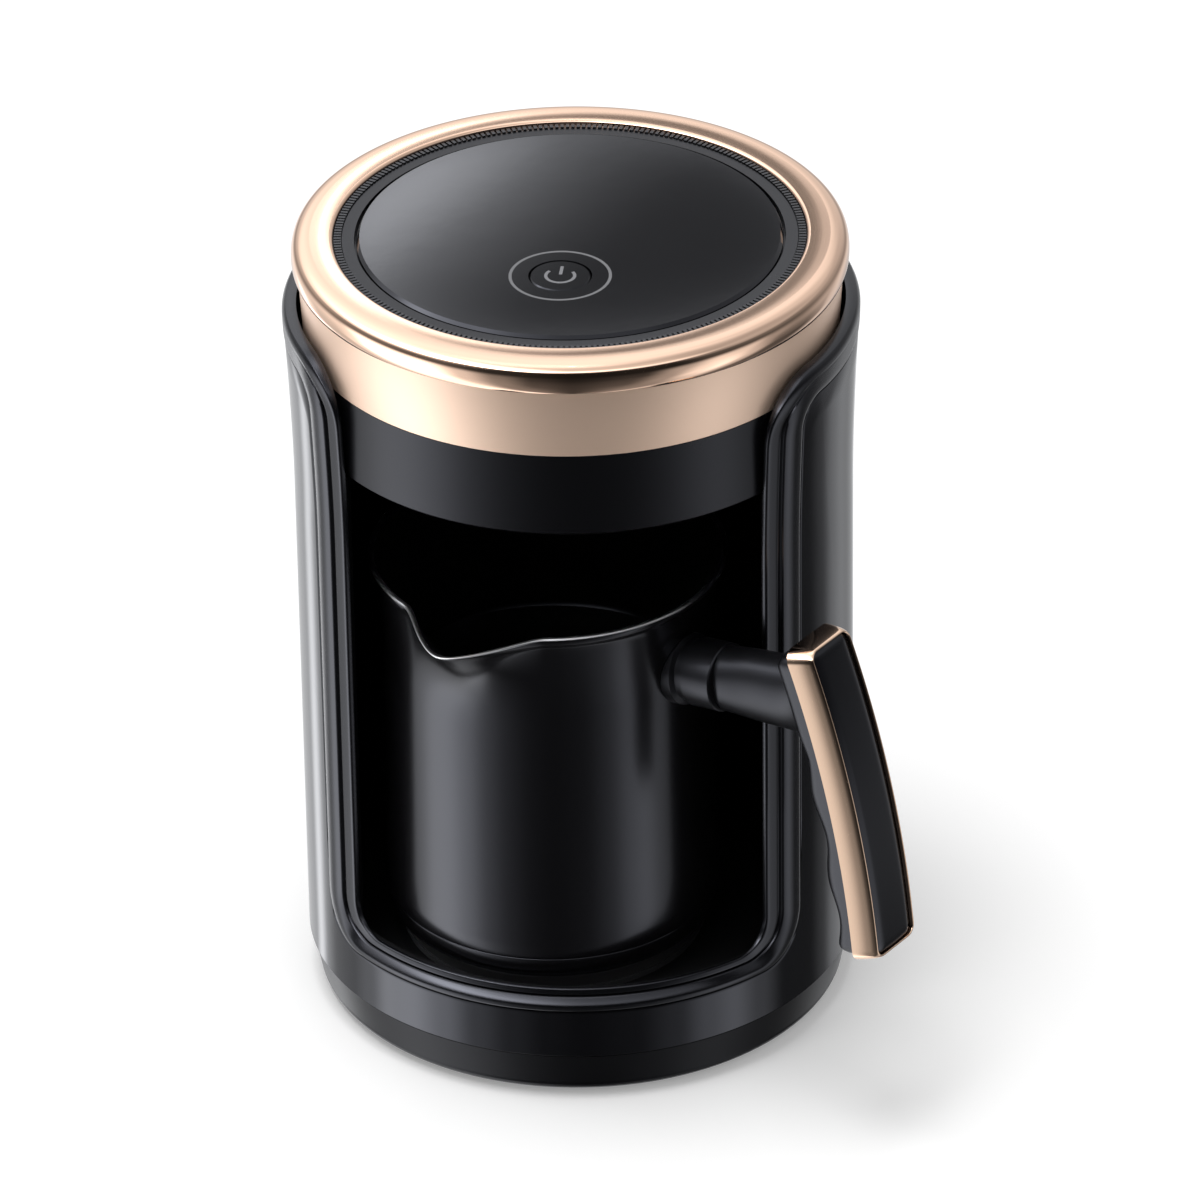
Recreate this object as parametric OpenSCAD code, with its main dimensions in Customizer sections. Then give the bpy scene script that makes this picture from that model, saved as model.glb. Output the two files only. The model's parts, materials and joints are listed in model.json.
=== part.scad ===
// Electric turkish coffee maker: a C-shaped shell round a hot plate, a head with the power
// button, and a lift-out pot with a pour spout and a side handle.
// Origin: centre of the standing ring. +Z up, -Y out of the opening. Azimuths are degrees from
// -Y towards +X.

/* [Shell] */
// Radius of the outer shell
body_r = 74; // [73:0.5:77]
// Wall of the outer shell
shell_t = 3; // [2.6:0.1:3.2]
// Flare of the shell at its top edge
flare = 1.4; // [0.8:0.1:1.6]
// Height of the foot band, from the standing ring's tread to the seam under the shell
foot_band_h = 13.3; // [12:0.1:14]
// Height of the sill at the foot of the opening
sill_z = 28; // [27:0.5:29]
// Height of the shell's top edge
shell_top_z = 196; // [194:0.5:197]
// Half of the opening's angle
opening_half = 59; // [58:0.5:60]
// Radius of the opening's lower corners
sill_corner_r = 15; // [11:0.5:18]
// Radius of the shell's upper corners
crest_corner_r = 8; // [6:0.5:9]

/* [Opening bezel] */
// Width of the bezel's outer step at the sides, in degrees
bezel_side = 5.2; // [4.6:0.1:5.6]
// Width of the bezel's outer step at the sill
bezel_end = 3.6; // [3:0.1:4]
// Width of the bezel's inner step at the sides, in degrees
cheek_side = 4.3; // [3.8:0.1:4.6]
// Width of the bezel's inner step at the sill
cheek_end = 2.2; // [1.6:0.1:2.6]
// Height of the bezel's crest above the shell
crest_rise = 8; // [6:0.5:8.5]

/* [Head] */
// Height of the head's underside
head_z = 171.8; // [170.4:0.2:173]
// Height of the black band round the head
band_h = 23.6; // [22:0.2:25]
// Height of the satin band
satin_h = 19.2; // [17:0.2:21.4]
// Height of the polished cap ring
cap_h = 8.2; // [7:0.2:9]
// Radius of the glossy disc
disc_r = 55.8; // [54:0.2:57]
// Width of the black annulus round the disc
annulus_w = 3.2; // [2.6:0.1:3.6]
// Width of the toothed ring
tick_w = 2; // [1.6:0.1:2.4]
// Number of teeth on the toothed ring
tick_count = 90; // [60:10:120]

/* [Power button] */
// Radius of the button cap
button_r = 8; // [7:0.5:9]
// Distance of the button from the middle of the disc
button_y = 23.2; // [20:0.5:26]
// Travel of the button
button_travel = 1.2; // [0.8:0.1:1.4]
// Radius of the light ring round the button
halo_r = 13; // [12:0.5:15]

/* [Hot plate] */
// Radius of the hot plate
plate_r = 40; // [38:0.5:41]
// Height of the hot plate's face
plate_z = 31.5; // [31:0.1:32]
// Radius of the spring-loaded heat probe
probe_r = 6.5; // [5.5:0.5:7]
// Travel of the heat probe
probe_travel = 1.5; // [1:0.1:2]

/* [Pot] */
// Sideways place of the pot's axis
pot_x = -4.8; // [-5:0.2:-4.4]
// Fore-and-aft place of the pot's axis
pot_y = -21; // [-21.5:0.5:-20]
// Radius of the pot's body
pot_r = 45; // [43:0.5:46]
// Radius of the pot's neck
neck_r = 44.2; // [42:0.2:44.8]
// Radius of the pot's mouth
mouth_r = 46.8; // [46:0.2:47.2]
// Height of the pot
pot_h = 107.8; // [104:0.2:109]
// Thickness of the pot's wall
pot_t = 1; // [0.8:0.1:1.4]
// Height of the pot's base cap
base_cap_h = 7.3; // [6:0.1:9]
// Reach of the pour spout beyond the mouth
spout_out = 15.5; // [11:0.5:16.5]
// Azimuth of the pour spout
spout_az = -20.5; // [-26:0.5:-18]
// Half of the angle that the spout takes from the mouth
spout_half = 22; // [17:1:26]

/* [Handle] */
// Azimuth of the handle
handle_az = 60; // [58:0.5:61]
// Depth of the arm's axis under the pot's rim, where it leaves the pot
arm_drop = 21.8; // [20:0.2:26]
// Rise of the arm, in degrees
arm_rise = 7; // [4:1:10]
// Half height of the arm at the grip
arm_tall = 10.8; // [9:0.2:11.4]
// Half width of the arm
arm_wide = 6.8; // [6:0.1:7]
// Radius of the collar on the pot
collar_r = 9.2; // [8.4:0.2:9.6]
// Distance of the grip's upper end from the pot's axis
grip_top_r = 90; // [88:0.5:93]
// Distance of the grip's lower end from the pot's axis
grip_foot_r = 112; // [107:0.5:114]
// Height of the grip's upper end above the pot's rim
grip_rise = 2.9; // [0:0.1:4]
// Height of the grip from its lower end to its upper end
grip_drop = 87.5; // [80:0.5:90]
// Bow of the grip's outer face
grip_bow = 3.4; // [0:0.2:5]
// Width of the grip's outer face
grip_w = 18.5; // [17:0.5:20]
// Splay of each side of the grip's frame towards its back
grip_splay = 1.4; // [0:0.1:2]
// Depth of the grip's metal frame
frame_deep = 6.8; // [6.5:0.1:8.5]
// Depth of the grip's core behind the frame
core_deep = 6; // [5:0.1:7]
// Depth of the finger ripples
ripple = 1.1; // [0:0.1:1.4]

/* [Hidden] */
$fn = 96;

// Clearances: a slip fit, a parting line that shows, a running fit and a seat
slip = 0.15;
seam = 0.4;
running = 0.3;
seat = 0.1;

// Finishes
gloss_black = [0.04, 0.04, 0.045];
satin_black = [0.09, 0.09, 0.095];
rubber_black = [0.06, 0.06, 0.06];
rose_satin = [0.88, 0.69, 0.58];
rose_polish = [0.93, 0.74, 0.64];
steel = [0.75, 0.75, 0.77];
board_green = [0.05, 0.33, 0.2];
pale_grey = [0.72, 0.73, 0.75];

// Shell and base
tread_h = 0.8;
pan_t = 2.2;
spigot_h = 4.2;
spigot_t = 2.2;
foot_taper = 2;
foot_round = 3;
shell_in = body_r - shell_t;
liner_out = shell_in - slip;
shell_z = foot_band_h + seam;
flare_z = shell_top_z - 42.5;
flare_power = 1.6;
draft = 0.2;
crown = 0.2;
step_drop = 0.8;
crest_step = 0.62;
groove_deep = 1.1;
tread_in = body_r - 16;
tread_out = body_r - 10;
tread_groove = 0.8;
screw_ring_r = body_r - 20;
screw_az = [45, 135, 225, 315];
screw_r = 1.45;
screw_head_r = 3.4;
screw_head_h = 1.8;
boss_r = 4;
vent_count = 9;
vent_pitch = 5;
vent_w = 2;
vent_l = 34;

// Pot bay
cheek_half = opening_half - bezel_side - cheek_side;
bay_half = shell_in * sin(cheek_half);
bay_r = body_r - 11;
bay_y = -8;
bay_t = 2.5;
bay_floor_z = 23.5;
bay_floor_t = 2;
sill_t = 2.45;
sill_top_z = sill_z + 4.5;
liner_top_z = head_z - seat;
wing_in = asin((bay_half + 0.15) / (shell_in - slip - sill_t));
wing_out = opening_half + 2.5;
bay_back_y = bay_y + bay_r + bay_t;

// Hot plate
plate_t = 2.5;
plate_edge_h = 4.5;
plate_rim_w = 2.5;
plate_round = 1.5;
gasket_t = plate_z - plate_edge_h - bay_floor_z - bay_floor_t;
gasket_w = 5;
floor_hole_r = plate_r - 5.5;
element_r = plate_r - 12;
element_tube_r = 3.2;
plate_under_z = plate_z - plate_t;
element_z = plate_under_z - seat - element_tube_r;
probe_flange_r = probe_r + 2;
probe_flange_t = 1.2;
probe_cup_r = probe_flange_r + 0.4;
probe_cup_t = 1.5;
probe_cup_h = probe_travel + 9.5;
probe_flange_z = plate_under_z - seat - probe_flange_t;
spring_wire = 0.6;
spring_r = probe_r - 1;
spring_turns = 4;
spring_z = plate_under_z - probe_cup_h + probe_cup_t;
cutoff_r = 5.5;
cutoff_h = 7;
cutoff_at = probe_cup_r + probe_cup_t + cutoff_r + 0.8;

// Cord entry and power board
cord_z = 24;
cord_r = 3.5;
bush_half = 5.5;
bush_flange_r = 7;
bush_flange_t = 2;
board_t = 1.6;
power_board_w = 40;
power_board_z = 43.5;
power_board_h = 70;
standoff_h = 3.8;
power_board_y = bay_back_y + standoff_h;
board_hole_inset = 4;
loom_r = 2.2;
loom_x = 21;
loom_y = bay_back_y + 3;
loom_turn = 5;

// Head
head_r = shell_in - 0.8;
band_top_z = head_z + band_h;
satin_top_z = band_top_z + satin_h;
head_t = 2.4;
head_floor_t = 2.2;
neck_step = 1;
neck_out = head_r - neck_step;
neck_in = neck_out - head_t;
satin_flare = 1;
satin_foot_r = head_r + 0.2;
flange_t = 2;
top_seat_z = satin_top_z - 0.3;
flange_r = neck_out - 0.3;
annulus_r = disc_r + 0.6 + annulus_w;
annulus_z = top_seat_z + 7.4;
disc_bed_z = top_seat_z + 5.1;
disc_top_z = annulus_z + 0.7;
disc_chamfer = 0.8;
tick_in = annulus_r + 0.15;
tick_out = tick_in + tick_w;
tick_z = annulus_z + 0.4;
tick_deep = 0.5;
cap_in = tick_out + 0.15;
cap_out = neck_out + 3.8;
cap_seat_z = top_seat_z + flange_t + seat;
control_board_w = 74;
control_board_d = 56;
control_board_z = top_seat_z - 11;
control_post = [31, 22];
post_r = 3;
rear_post_x = 30;
rear_post_y = bay_back_y - 3.9;
rear_post_r = 4.5;
rear_post_h = 18;

// Button
halo_w = 0.9;
halo_deep = 0.8;
cap_flange_r = button_r + 2;
cap_flange_t = 1.5;
cap_flange_z = top_seat_z - seat - cap_flange_t;
switch_h = 2;
plunger_r = 1.6;
plunger_top_z = control_board_z + board_t + switch_h + button_travel + 0.2;
symbol_r = 3.75;
symbol_w = 0.85;
symbol_t = 0.25;
symbol_gap = 53;

// Pot
pot_z = plate_z + seat;
base_round = 4;
base_t = 2;
spreader_r = pot_r - 4;
spout_fall = 34;
spout_power = 1.5;
neck_h = pot_h - 24;
fill_h = pot_h * 0.6;
fill_step = 0.9;
bead = 1.0;
arm_h = pot_h - arm_drop;
collar_l = 14;
collar_neck_l = 5;
arm_root_r = pot_r - 0.5;
frame_t = 1.3;
inlay_t = 2.2;
grip_corner_r = 3;
ripple_pitch = 24;
bolt_r = 1.95;
bolt_head_r = 3.6;
bolt_head_h = 2.4;

function mix(a, b, t) = a + (b - a) * t;
function arc_deg(len) = len / body_r * 180 / PI;
function at(az, r, z) = [r * sin(az), -r * cos(az), z];
function flip(path) = [for (i = [len(path) - 1:-1:0]) [-path[i][0], path[i][1]]];

// A path round the shell as [azimuth, height]: along the sill, up one side of the opening, back
// round the crest and down the other side
function opening_path(half, low, high, r_low, r_high) =
  let(c_low = arc_deg(r_low), c_high = arc_deg(r_high), n_c = 7, n_f = 16, n_b = 36,
    side = concat(
      [for (i = [0:n_c]) let(a = 90 * i / n_c)
        [half - c_low * (1 - sin(a)), low + r_low * (1 - cos(a))]],
      [for (i = [0:n_c]) let(a = 90 * i / n_c)
        [half + draft + c_high * (1 - cos(a)), high - r_high * (1 - sin(a))]]))
  concat(
    [for (i = [1:n_f - 1]) [mix(c_low - half, half - c_low, i / n_f), low]],
    side,
    [for (i = [1:n_b - 1])
      [mix(half + draft + c_high, 360 - half - draft - c_high, i / n_b), high]],
    flip(side));

function shell_path(out) = opening_path(opening_half + arc_deg(out), sill_z - out,
  shell_top_z - out, sill_corner_r, crest_corner_r);
function step_path() = opening_path(opening_half - bezel_side, sill_z + bezel_end,
  shell_top_z + crest_rise * crest_step, sill_corner_r - 3, crest_corner_r + 5.5);
function cheek_path() = opening_path(cheek_half, sill_z + bezel_end + cheek_end,
  shell_top_z + crest_rise, sill_corner_r - 5.5, crest_corner_r + 9.5);

// The shell's outer radius at a height, and how far up the bezel has turned into its crest
function shell_r(z) = body_r + flare * pow(max(0, z - flare_z) / (shell_top_z - flare_z), flare_power);
function crest_share(z) = max(0, min(1, (z - shell_top_z + 6) / 12));

// A solid round a closed chain of sections with as many points each
module chain(sections) {
  n = len(sections);
  m = len(sections[0]);
  polyhedron(
    points = [for (s = sections) for (p = s) p],
    faces = [for (i = [0:n - 1]) for (j = [0:m - 1])
      let(a = i * m + j, b = i * m + (j + 1) % m,
        c = (i + 1) % n * m + (j + 1) % m, d = (i + 1) % n * m + j)
      for (f = [[a, c, b], [a, d, c]]) f]);
}

// A solid through a stack of rings, closed by a fan at each end
module stack(rings) {
  n = len(rings);
  m = len(rings[0]);
  last = n * m;
  polyhedron(
    points = concat([for (s = rings) for (p = s) p],
      [centre_of(rings[0]), centre_of(rings[n - 1])]),
    faces = concat(
      [for (i = [0:n - 2]) for (j = [0:m - 1])
        let(a = i * m + j, b = i * m + (j + 1) % m, c = b + m, d = a + m)
        for (f = [[a, c, b], [a, d, c]]) f],
      [for (j = [0:m - 1]) [last, j, (j + 1) % m]],
      [for (j = [0:m - 1]) [last + 1, (n - 1) * m + (j + 1) % m, (n - 1) * m + j]]));
}
function centre_of(ring) = [for (k = [0:2]) let(v = [for (p = ring) p[k]])
  sum_of(v, len(v) - 1) / len(v)];
function sum_of(v, i) = i < 0 ? 0 : v[i] + sum_of(v, i - 1);

module tube(r_out, r_in, h) {
  difference() {
    cylinder(r = r_out, h = h);
    translate([0, 0, -1]) cylinder(r = r_in, h = h + 2);
  }
}

module rounded_plate(w, h, r) {
  square([w - 2 * r, h], center = true);
  square([w, h - 2 * r], center = true);
  for (x = [-1, 1], y = [-1, 1])
    translate([x * (w / 2 - r), y * (h / 2 - r)]) circle(r = r, $fn = 48);
}

module at_screws() {
  for (a = screw_az) translate(at(a, screw_ring_r, 0)) children();
}

// ---- base and shell ----

module standing_ring() {
  color(rubber_black) tube(tread_out - slip, tread_in + slip, tread_h + tread_groove);
}

module base_pan() {
  foot_r = body_r - 0.6 - foot_taper;
  spigot_in = liner_out - spigot_t;
  turn = [for (i = [0:6]) let(a = 90 * i / 6)
    [foot_r - foot_round * (1 - sin(a)), tread_h + foot_round * (1 - cos(a))]];
  color(satin_black) difference() {
    rotate_extrude($fn = 144) polygon(concat([[0, tread_h]], turn, [[body_r - 0.6, foot_band_h],
      [liner_out, foot_band_h], [liner_out, foot_band_h + spigot_h],
      [spigot_in, foot_band_h + spigot_h], [spigot_in, tread_h + pan_t], [0, tread_h + pan_t]]));
    tube(tread_out, tread_in, tread_h + tread_groove);
    at_screws() {
      cylinder(r = screw_r + 0.3, h = 3 * pan_t);
      cylinder(r = screw_head_r + 0.3, h = tread_h + screw_head_h / 2);
    }
    for (i = [0:vent_count - 1])
      translate([(i - (vent_count - 1) / 2) * vent_pitch - vent_w / 2, -vent_l / 2, 0])
        cube([vent_w, vent_l, 3 * pan_t]);
  }
}

module base_screws() {
  color(steel) at_screws() translate([0, 0, tread_h + screw_head_h / 2]) difference() {
    union() {
      translate([0, 0, -screw_head_h / 2 + 0.1]) cylinder(r = screw_head_r, h = screw_head_h / 2 - 0.1);
      cylinder(r = screw_r, h = 12);
    }
    for (a = [0, 90]) rotate(a) translate([-2, -0.4, -screw_head_h / 2 - 0.1]) cube([4, 0.8, 0.7]);
  }
}

module outer_shell() {
  levels = concat([shell_z], [for (i = [0:6]) mix(flare_z, shell_top_z, i / 6)]);
  color(gloss_black) difference() {
    intersection() {
      rotate_extrude($fn = 144) polygon(concat([for (z = levels) [shell_r(z), z]],
        [for (i = [len(levels) - 1:-1:0]) [shell_r(levels[i]) - shell_t, levels[i]]]));
      chain([for (p = shell_path(seam / 3)) [at(p[0], shell_in - 9, shell_z - 5),
        at(p[0], body_r + 9, shell_z - 5), at(p[0], body_r + 9, p[1]),
        at(p[0], shell_in - 9, p[1])]]);
    }
    translate([-bush_half - 0.1, shell_in - 4, shell_z - 5])
      cube([2 * bush_half + 0.2, 12, cord_z + bush_half + 0.1 - shell_z + 5]);
  }
}

// The bezel: an outer step, a fine groove and an inner step, swept round the opening and the
// crest of the shell
module opening_bezel() {
  outer = shell_path(0);
  step = step_path();
  cheek = cheek_path();
  color(satin_black) chain([for (i = [0:len(outer) - 1])
    let(o = outer[i], s = step[i], c = cheek[i], k = crest_share(s[1]),
      drop = step_drop * (1 - k) - 0.15 * k, m = mix(o, s, 0.4), g = mix(s, c, 0.12),
      h = mix(s, c, 0.24), q = mix(s, c, 0.7), w = mix(o, c, 0.5))
    [skin(o, 0), skin(m, -crown), skin(s, drop), skin(g, drop + groove_deep * (1 - k)),
      skin(h, drop + 0.4 * (1 - k)), skin(q, drop + mix(0.6, 0.3, k)),
      skin(c, drop + mix(0.8, 1.1, k)), skin(c, shell_t + 0.8 * k), skin(w, shell_t),
      skin(o, shell_t)]]);
}
function skin(p, deep) = at(p[0], shell_r(p[1]) - deep, p[1]);

// ---- pot bay ----

module bay_plan(grow) {
  translate([0, bay_y]) circle(r = bay_r + grow, $fn = 144);
  intersection() {
    translate([-bay_half - grow, -body_r]) square([2 * (bay_half + grow), body_r + bay_y]);
    circle(r = liner_out, $fn = 144);
  }
}

// A ring's sector from one azimuth to another, drawn flat
module sector(r_out, r_in, az0, az1) {
  far = 1.5 * r_out;
  intersection() {
    difference() {
      circle(r = r_out, $fn = 144);
      circle(r = r_in, $fn = 144);
    }
    polygon(concat([[0, 0]], [for (i = [0:8]) let(p = at(mix(az0, az1, i / 8), far, 0))
      [p[0], p[1]]]));
  }
}

module liner_plan() {
  difference() {
    intersection() {
      bay_plan(bay_t);
      circle(r = liner_out, $fn = 144);
    }
    bay_plan(0);
    translate([-bay_half, -2 * body_r]) square([2 * bay_half, 2 * body_r + bay_y]);
  }
  sector(liner_out, liner_out - sill_t, wing_in, wing_out);
  sector(liner_out, liner_out - sill_t, -wing_out, -wing_in);
}

module bay_floor() {
  boss_z = tread_h + pan_t + seat;
  color(satin_black) difference() {
    union() {
      translate([0, 0, bay_floor_z]) linear_extrude(bay_floor_t) intersection() {
        bay_plan(bay_t);
        circle(r = liner_out, $fn = 144);
      }
      translate([0, 0, bay_floor_z]) linear_extrude(sill_top_z - bay_floor_z) intersection() {
        sector(liner_out - slip, liner_out - sill_t, -wing_in + 0.3, wing_in - 0.3);
        square([2 * (bay_half - seam), 4 * body_r], center = true);
      }
      at_screws() translate([0, 0, boss_z]) cylinder(r = boss_r, h = bay_floor_z - boss_z + 0.5);
    }
    translate([pot_x, pot_y, bay_floor_z - 1]) cylinder(r = floor_hole_r, h = bay_floor_t + 2);
    at_screws() cylinder(r = screw_r + 0.05, h = 14.5);
  }
}

module bay_wall() {
  foot_z = bay_floor_z + bay_floor_t + seat;
  color(satin_black) difference() {
    union() {
      translate([0, 0, foot_z]) linear_extrude(liner_top_z - foot_z) liner_plan();
      for (x = [-1, 1]) translate([x * rear_post_x, rear_post_y, liner_top_z - rear_post_h])
        cylinder(r = rear_post_r, h = rear_post_h);
      at_power_holes() translate([0, 0, -1]) cylinder(r = post_r, h = standoff_h + 2 - seat);
    }
    for (x = [-1, 1]) translate([x * rear_post_x, rear_post_y, liner_top_z - 13])
      cylinder(r = screw_r + 0.05, h = 20);
    at_power_holes() cylinder(r = screw_r + 0.05, h = 20);
  }
}

module plate_gasket() {
  color(rubber_black) translate([pot_x, pot_y, bay_floor_z + bay_floor_t])
    tube(plate_r + 0.5, plate_r + 0.5 - gasket_w, gasket_t);
}

module hot_plate() {
  foot = plate_z - plate_edge_h;
  color(steel) translate([pot_x, pot_y, 0]) rotate_extrude() polygon([
    [probe_r + running, plate_z], [plate_r - plate_round, plate_z],
    [plate_r, plate_z - plate_round], [plate_r, foot], [plate_r - plate_rim_w, foot],
    [plate_r - plate_rim_w, plate_under_z], [probe_r + running, plate_under_z]]);
}

module heating_element() {
  color(steel) translate([pot_x, pot_y, element_z]) {
    rotate_extrude() translate([element_r, 0]) circle(r = element_tube_r, $fn = 40);
    for (a = [-12, 12]) rotate([0, 0, a]) translate([0, element_r, -element_tube_r - 8])
      cylinder(r = 1.4, h = 8 + element_tube_r, $fn = 32);
  }
}

module thermal_cutoff() {
  color(satin_black) translate([pot_x, pot_y, plate_under_z - seat - cutoff_h])
    rotate([0, 0, 30]) translate([cutoff_at, 0, 0]) {
      cylinder(r = cutoff_r, h = cutoff_h);
      for (y = [-1, 1]) translate([-0.4, y * 3 - 1.5, -4]) cube([0.8, 3, 4.5]);
    }
}

module probe_holder() {
  color(satin_black) translate([pot_x, pot_y, plate_under_z - probe_cup_h]) {
    cylinder(r = probe_cup_r + probe_cup_t, h = probe_cup_t);
    tube(probe_cup_r + probe_cup_t, probe_cup_r, probe_cup_h - seat);
  }
}

// Coil spring as one helical tube with flat end turns
module probe_spring() {
  rise = probe_flange_z - spring_z - 2 * spring_wire - 2 * seat;
  steps = 14;
  n = (spring_turns + 2) * steps;
  color(steel) translate([pot_x, pot_y, spring_z + spring_wire + seat])
    stack([for (i = [0:n])
      let(a = 360 * i / steps, t = i / steps,
        z = rise * min(1, max(0, (t - 1) / spring_turns)))
      [for (k = [0:5]) let(b = 60 * k)
        [(spring_r + spring_wire * cos(b)) * cos(a), (spring_r + spring_wire * cos(b)) * sin(a),
          z + spring_wire * sin(b) + 0.02 * t]]]);
}

module heat_probe() {
  color(steel) translate([pot_x, pot_y, 0]) {
    translate([0, 0, probe_flange_z]) cylinder(r = probe_flange_r, h = probe_flange_t);
    translate([0, 0, probe_flange_z])
      cylinder(r = probe_r, h = plate_z - seat / 2 - probe_flange_z - 0.5);
    translate([0, 0, plate_z - seat / 2 - 0.5]) cylinder(r1 = probe_r, r2 = probe_r - 0.5, h = 0.5);
    translate([0, 0, probe_flange_z - 4]) cylinder(r = spring_r - spring_wire - 0.5, h = 4);
  }
}

// The bush slides up into the shell's notch and stands on the foot band's rim
module cord_bush() {
  inner_face = shell_in - 0.5;
  outer_face = body_r + 0.1;
  low = cord_z - foot_band_h - spigot_h - seat;
  color(rubber_black) translate([0, 0, cord_z]) rotate([-90, 0, 0]) difference() {
    union() {
      translate([-bush_half, -bush_half, inner_face - bush_flange_t])
        cube([2 * bush_half, bush_half + low, outer_face - inner_face + 2 * bush_flange_t]);
      translate([-bush_half, -bush_half, shell_in + 0.1])
        cube([2 * bush_half, bush_half + cord_z - shell_z, outer_face - shell_in - 0.1]);
      translate([-bush_flange_r, -bush_flange_r, inner_face - bush_flange_t])
        cube([2 * bush_flange_r, bush_flange_r + low, bush_flange_t]);
      translate([0, 0, outer_face]) cylinder(r1 = bush_flange_r, r2 = bush_flange_r - 0.8,
        h = bush_flange_t);
    }
    translate([0, 0, inner_face - bush_flange_t - 1]) cylinder(r = cord_r, h = 20);
  }
}

// ---- power board and loom behind the bay ----

module at_power_holes() {
  for (x = [-1, 1], z = [board_hole_inset, power_board_h - board_hole_inset])
    translate([x * (power_board_w / 2 - board_hole_inset), power_board_y - standoff_h - 1,
      power_board_z + z])
      rotate([-90, 0, 0]) children();
}

module power_board() {
  difference() {
    union() {
      translate([0, power_board_y, power_board_z]) {
        color(board_green) translate([-power_board_w / 2, 0, 0])
          cube([power_board_w, board_t, power_board_h]);
        color(satin_black) translate([-14, board_t, 10]) cube([15, 5, 18]);
        color("gold") translate([-10, board_t, 36]) cube([20, 5, 16]);
        color("steelblue") translate([9, board_t, 22]) rotate([-90, 0, 0])
          cylinder(r = 4, h = 4.6, $fn = 40);
      }
    }
    at_power_holes() cylinder(r = screw_r + 0.2, h = 12, $fn = 32);
  }
}

module power_board_screws() {
  color(steel) at_power_holes() {
    translate([0, 0, standoff_h + 1 + board_t]) cylinder(r = 2.6, h = 1.6, $fn = 40);
    translate([0, 0, 1.5]) cylinder(r = screw_r, h = standoff_h + board_t, $fn = 40);
  }
}

// Quarter bend of the loom, from +Z round to -Y
module loom_bend() {
  translate([0, -loom_turn, 0]) rotate([90, 0, 90])
    rotate_extrude(angle = 90, $fn = 64) translate([loom_turn, 0]) circle(r = loom_r, $fn = 40);
}

module wire_loom() {
  low = power_board_z + power_board_h + seat;
  top = control_board_z + board_t + 4;
  reach = loom_y - loom_turn - control_board_d / 2 + 9;
  color(rubber_black) {
    translate([loom_x, loom_y, low + 4])
      cylinder(r = loom_r, h = top - loom_turn - low - 4, $fn = 40);
    translate([loom_x, loom_y, top - loom_turn]) loom_bend();
    translate([loom_x, loom_y - loom_turn, top]) rotate([90, 0, 0])
      cylinder(r = loom_r, h = reach, $fn = 40);
    translate([loom_x - 8, power_board_y - 3.5, low]) cube([11, 7, 8]);
  }
}

// ---- head ----

module head_housing() {
  ceiling = head_z + head_floor_t;
  color(satin_black) difference() {
    union() {
      rotate_extrude($fn = 144) polygon([[0, head_z], [head_r - 0.8, head_z],
        [head_r, head_z + 0.8], [head_r, band_top_z - slip], [neck_out, band_top_z - slip],
        [neck_out, top_seat_z - seat], [neck_in, top_seat_z - seat], [neck_in, ceiling],
        [0, ceiling]]);
      translate([pot_x, pot_y, ceiling - 0.5]) tube(9, 7 + slip, 6);
    }
    translate([pot_x, pot_y, head_z - 1]) cylinder(r = 6, h = head_floor_t + 2);
    for (x = [-1, 1]) translate([x * rear_post_x, rear_post_y, head_z - 1])
      cylinder(r = screw_r + 0.3, h = head_floor_t + 2);
    translate([loom_x, loom_y, head_z - 1]) cylinder(r = loom_r + 0.8, h = head_floor_t + 2);
  }
}

module head_screws() {
  color(steel) for (x = [-1, 1]) translate([x * rear_post_x, rear_post_y, head_z + head_floor_t]) {
    cylinder(r = 3, h = 2, $fn = 40);
    translate([0, 0, -12]) cylinder(r = screw_r, h = 12.5, $fn = 40);
  }
}

module overflow_sensor() {
  color(board_green) translate([pot_x, pot_y, head_z + head_floor_t]) {
    cylinder(r = 7, h = 4.5);
    translate([-2, -2, 4]) cube([4, 4, 4]);
  }
}

module sensor_window() {
  color(gloss_black) translate([pot_x, pot_y, head_z]) cylinder(r = 6 - slip, h = head_floor_t - seat);
}

module satin_band() {
  inner = neck_out + slip;
  color(rose_satin) rotate_extrude($fn = 144) polygon([[inner, band_top_z],
    [satin_foot_r - 0.3, band_top_z], [satin_foot_r, band_top_z + 0.3],
    [satin_foot_r + satin_flare, satin_top_z], [inner, satin_top_z]]);
}

module top_plate() {
  color(satin_black) difference() {
    union() {
      rotate_extrude($fn = 144) polygon([[0, top_seat_z], [flange_r, top_seat_z],
        [flange_r, top_seat_z + flange_t], [annulus_r, top_seat_z + flange_t],
        [annulus_r, annulus_z], [disc_r + 0.6, annulus_z], [disc_r + 0.6, disc_bed_z],
        [0, disc_bed_z]]);
      for (x = [-1, 1], y = [-1, 1])
        translate([x * control_post[0], y * control_post[1], control_board_z + board_t + seat])
          cylinder(r = post_r, h = top_seat_z - control_board_z - board_t);
    }
    translate([0, -button_y, top_seat_z - 1]) cylinder(r = button_r + running, h = 9);
    for (x = [-1, 1], y = [-1, 1])
      translate([x * control_post[0], y * control_post[1], control_board_z])
        cylinder(r = screw_r + 0.05, h = 9);
  }
}

module toothed_ring() {
  seat_z = top_seat_z + flange_t;
  color(satin_black) difference() {
    translate([0, 0, seat_z]) tube(tick_out, tick_in, tick_z - seat_z);
    for (i = [0:tick_count - 1]) rotate([0, 0, 360 * i / tick_count])
      translate([tick_in - 1, -tick_w / 8, tick_z - tick_deep]) cube([tick_w + 2, tick_w / 4, 2]);
  }
}

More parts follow.
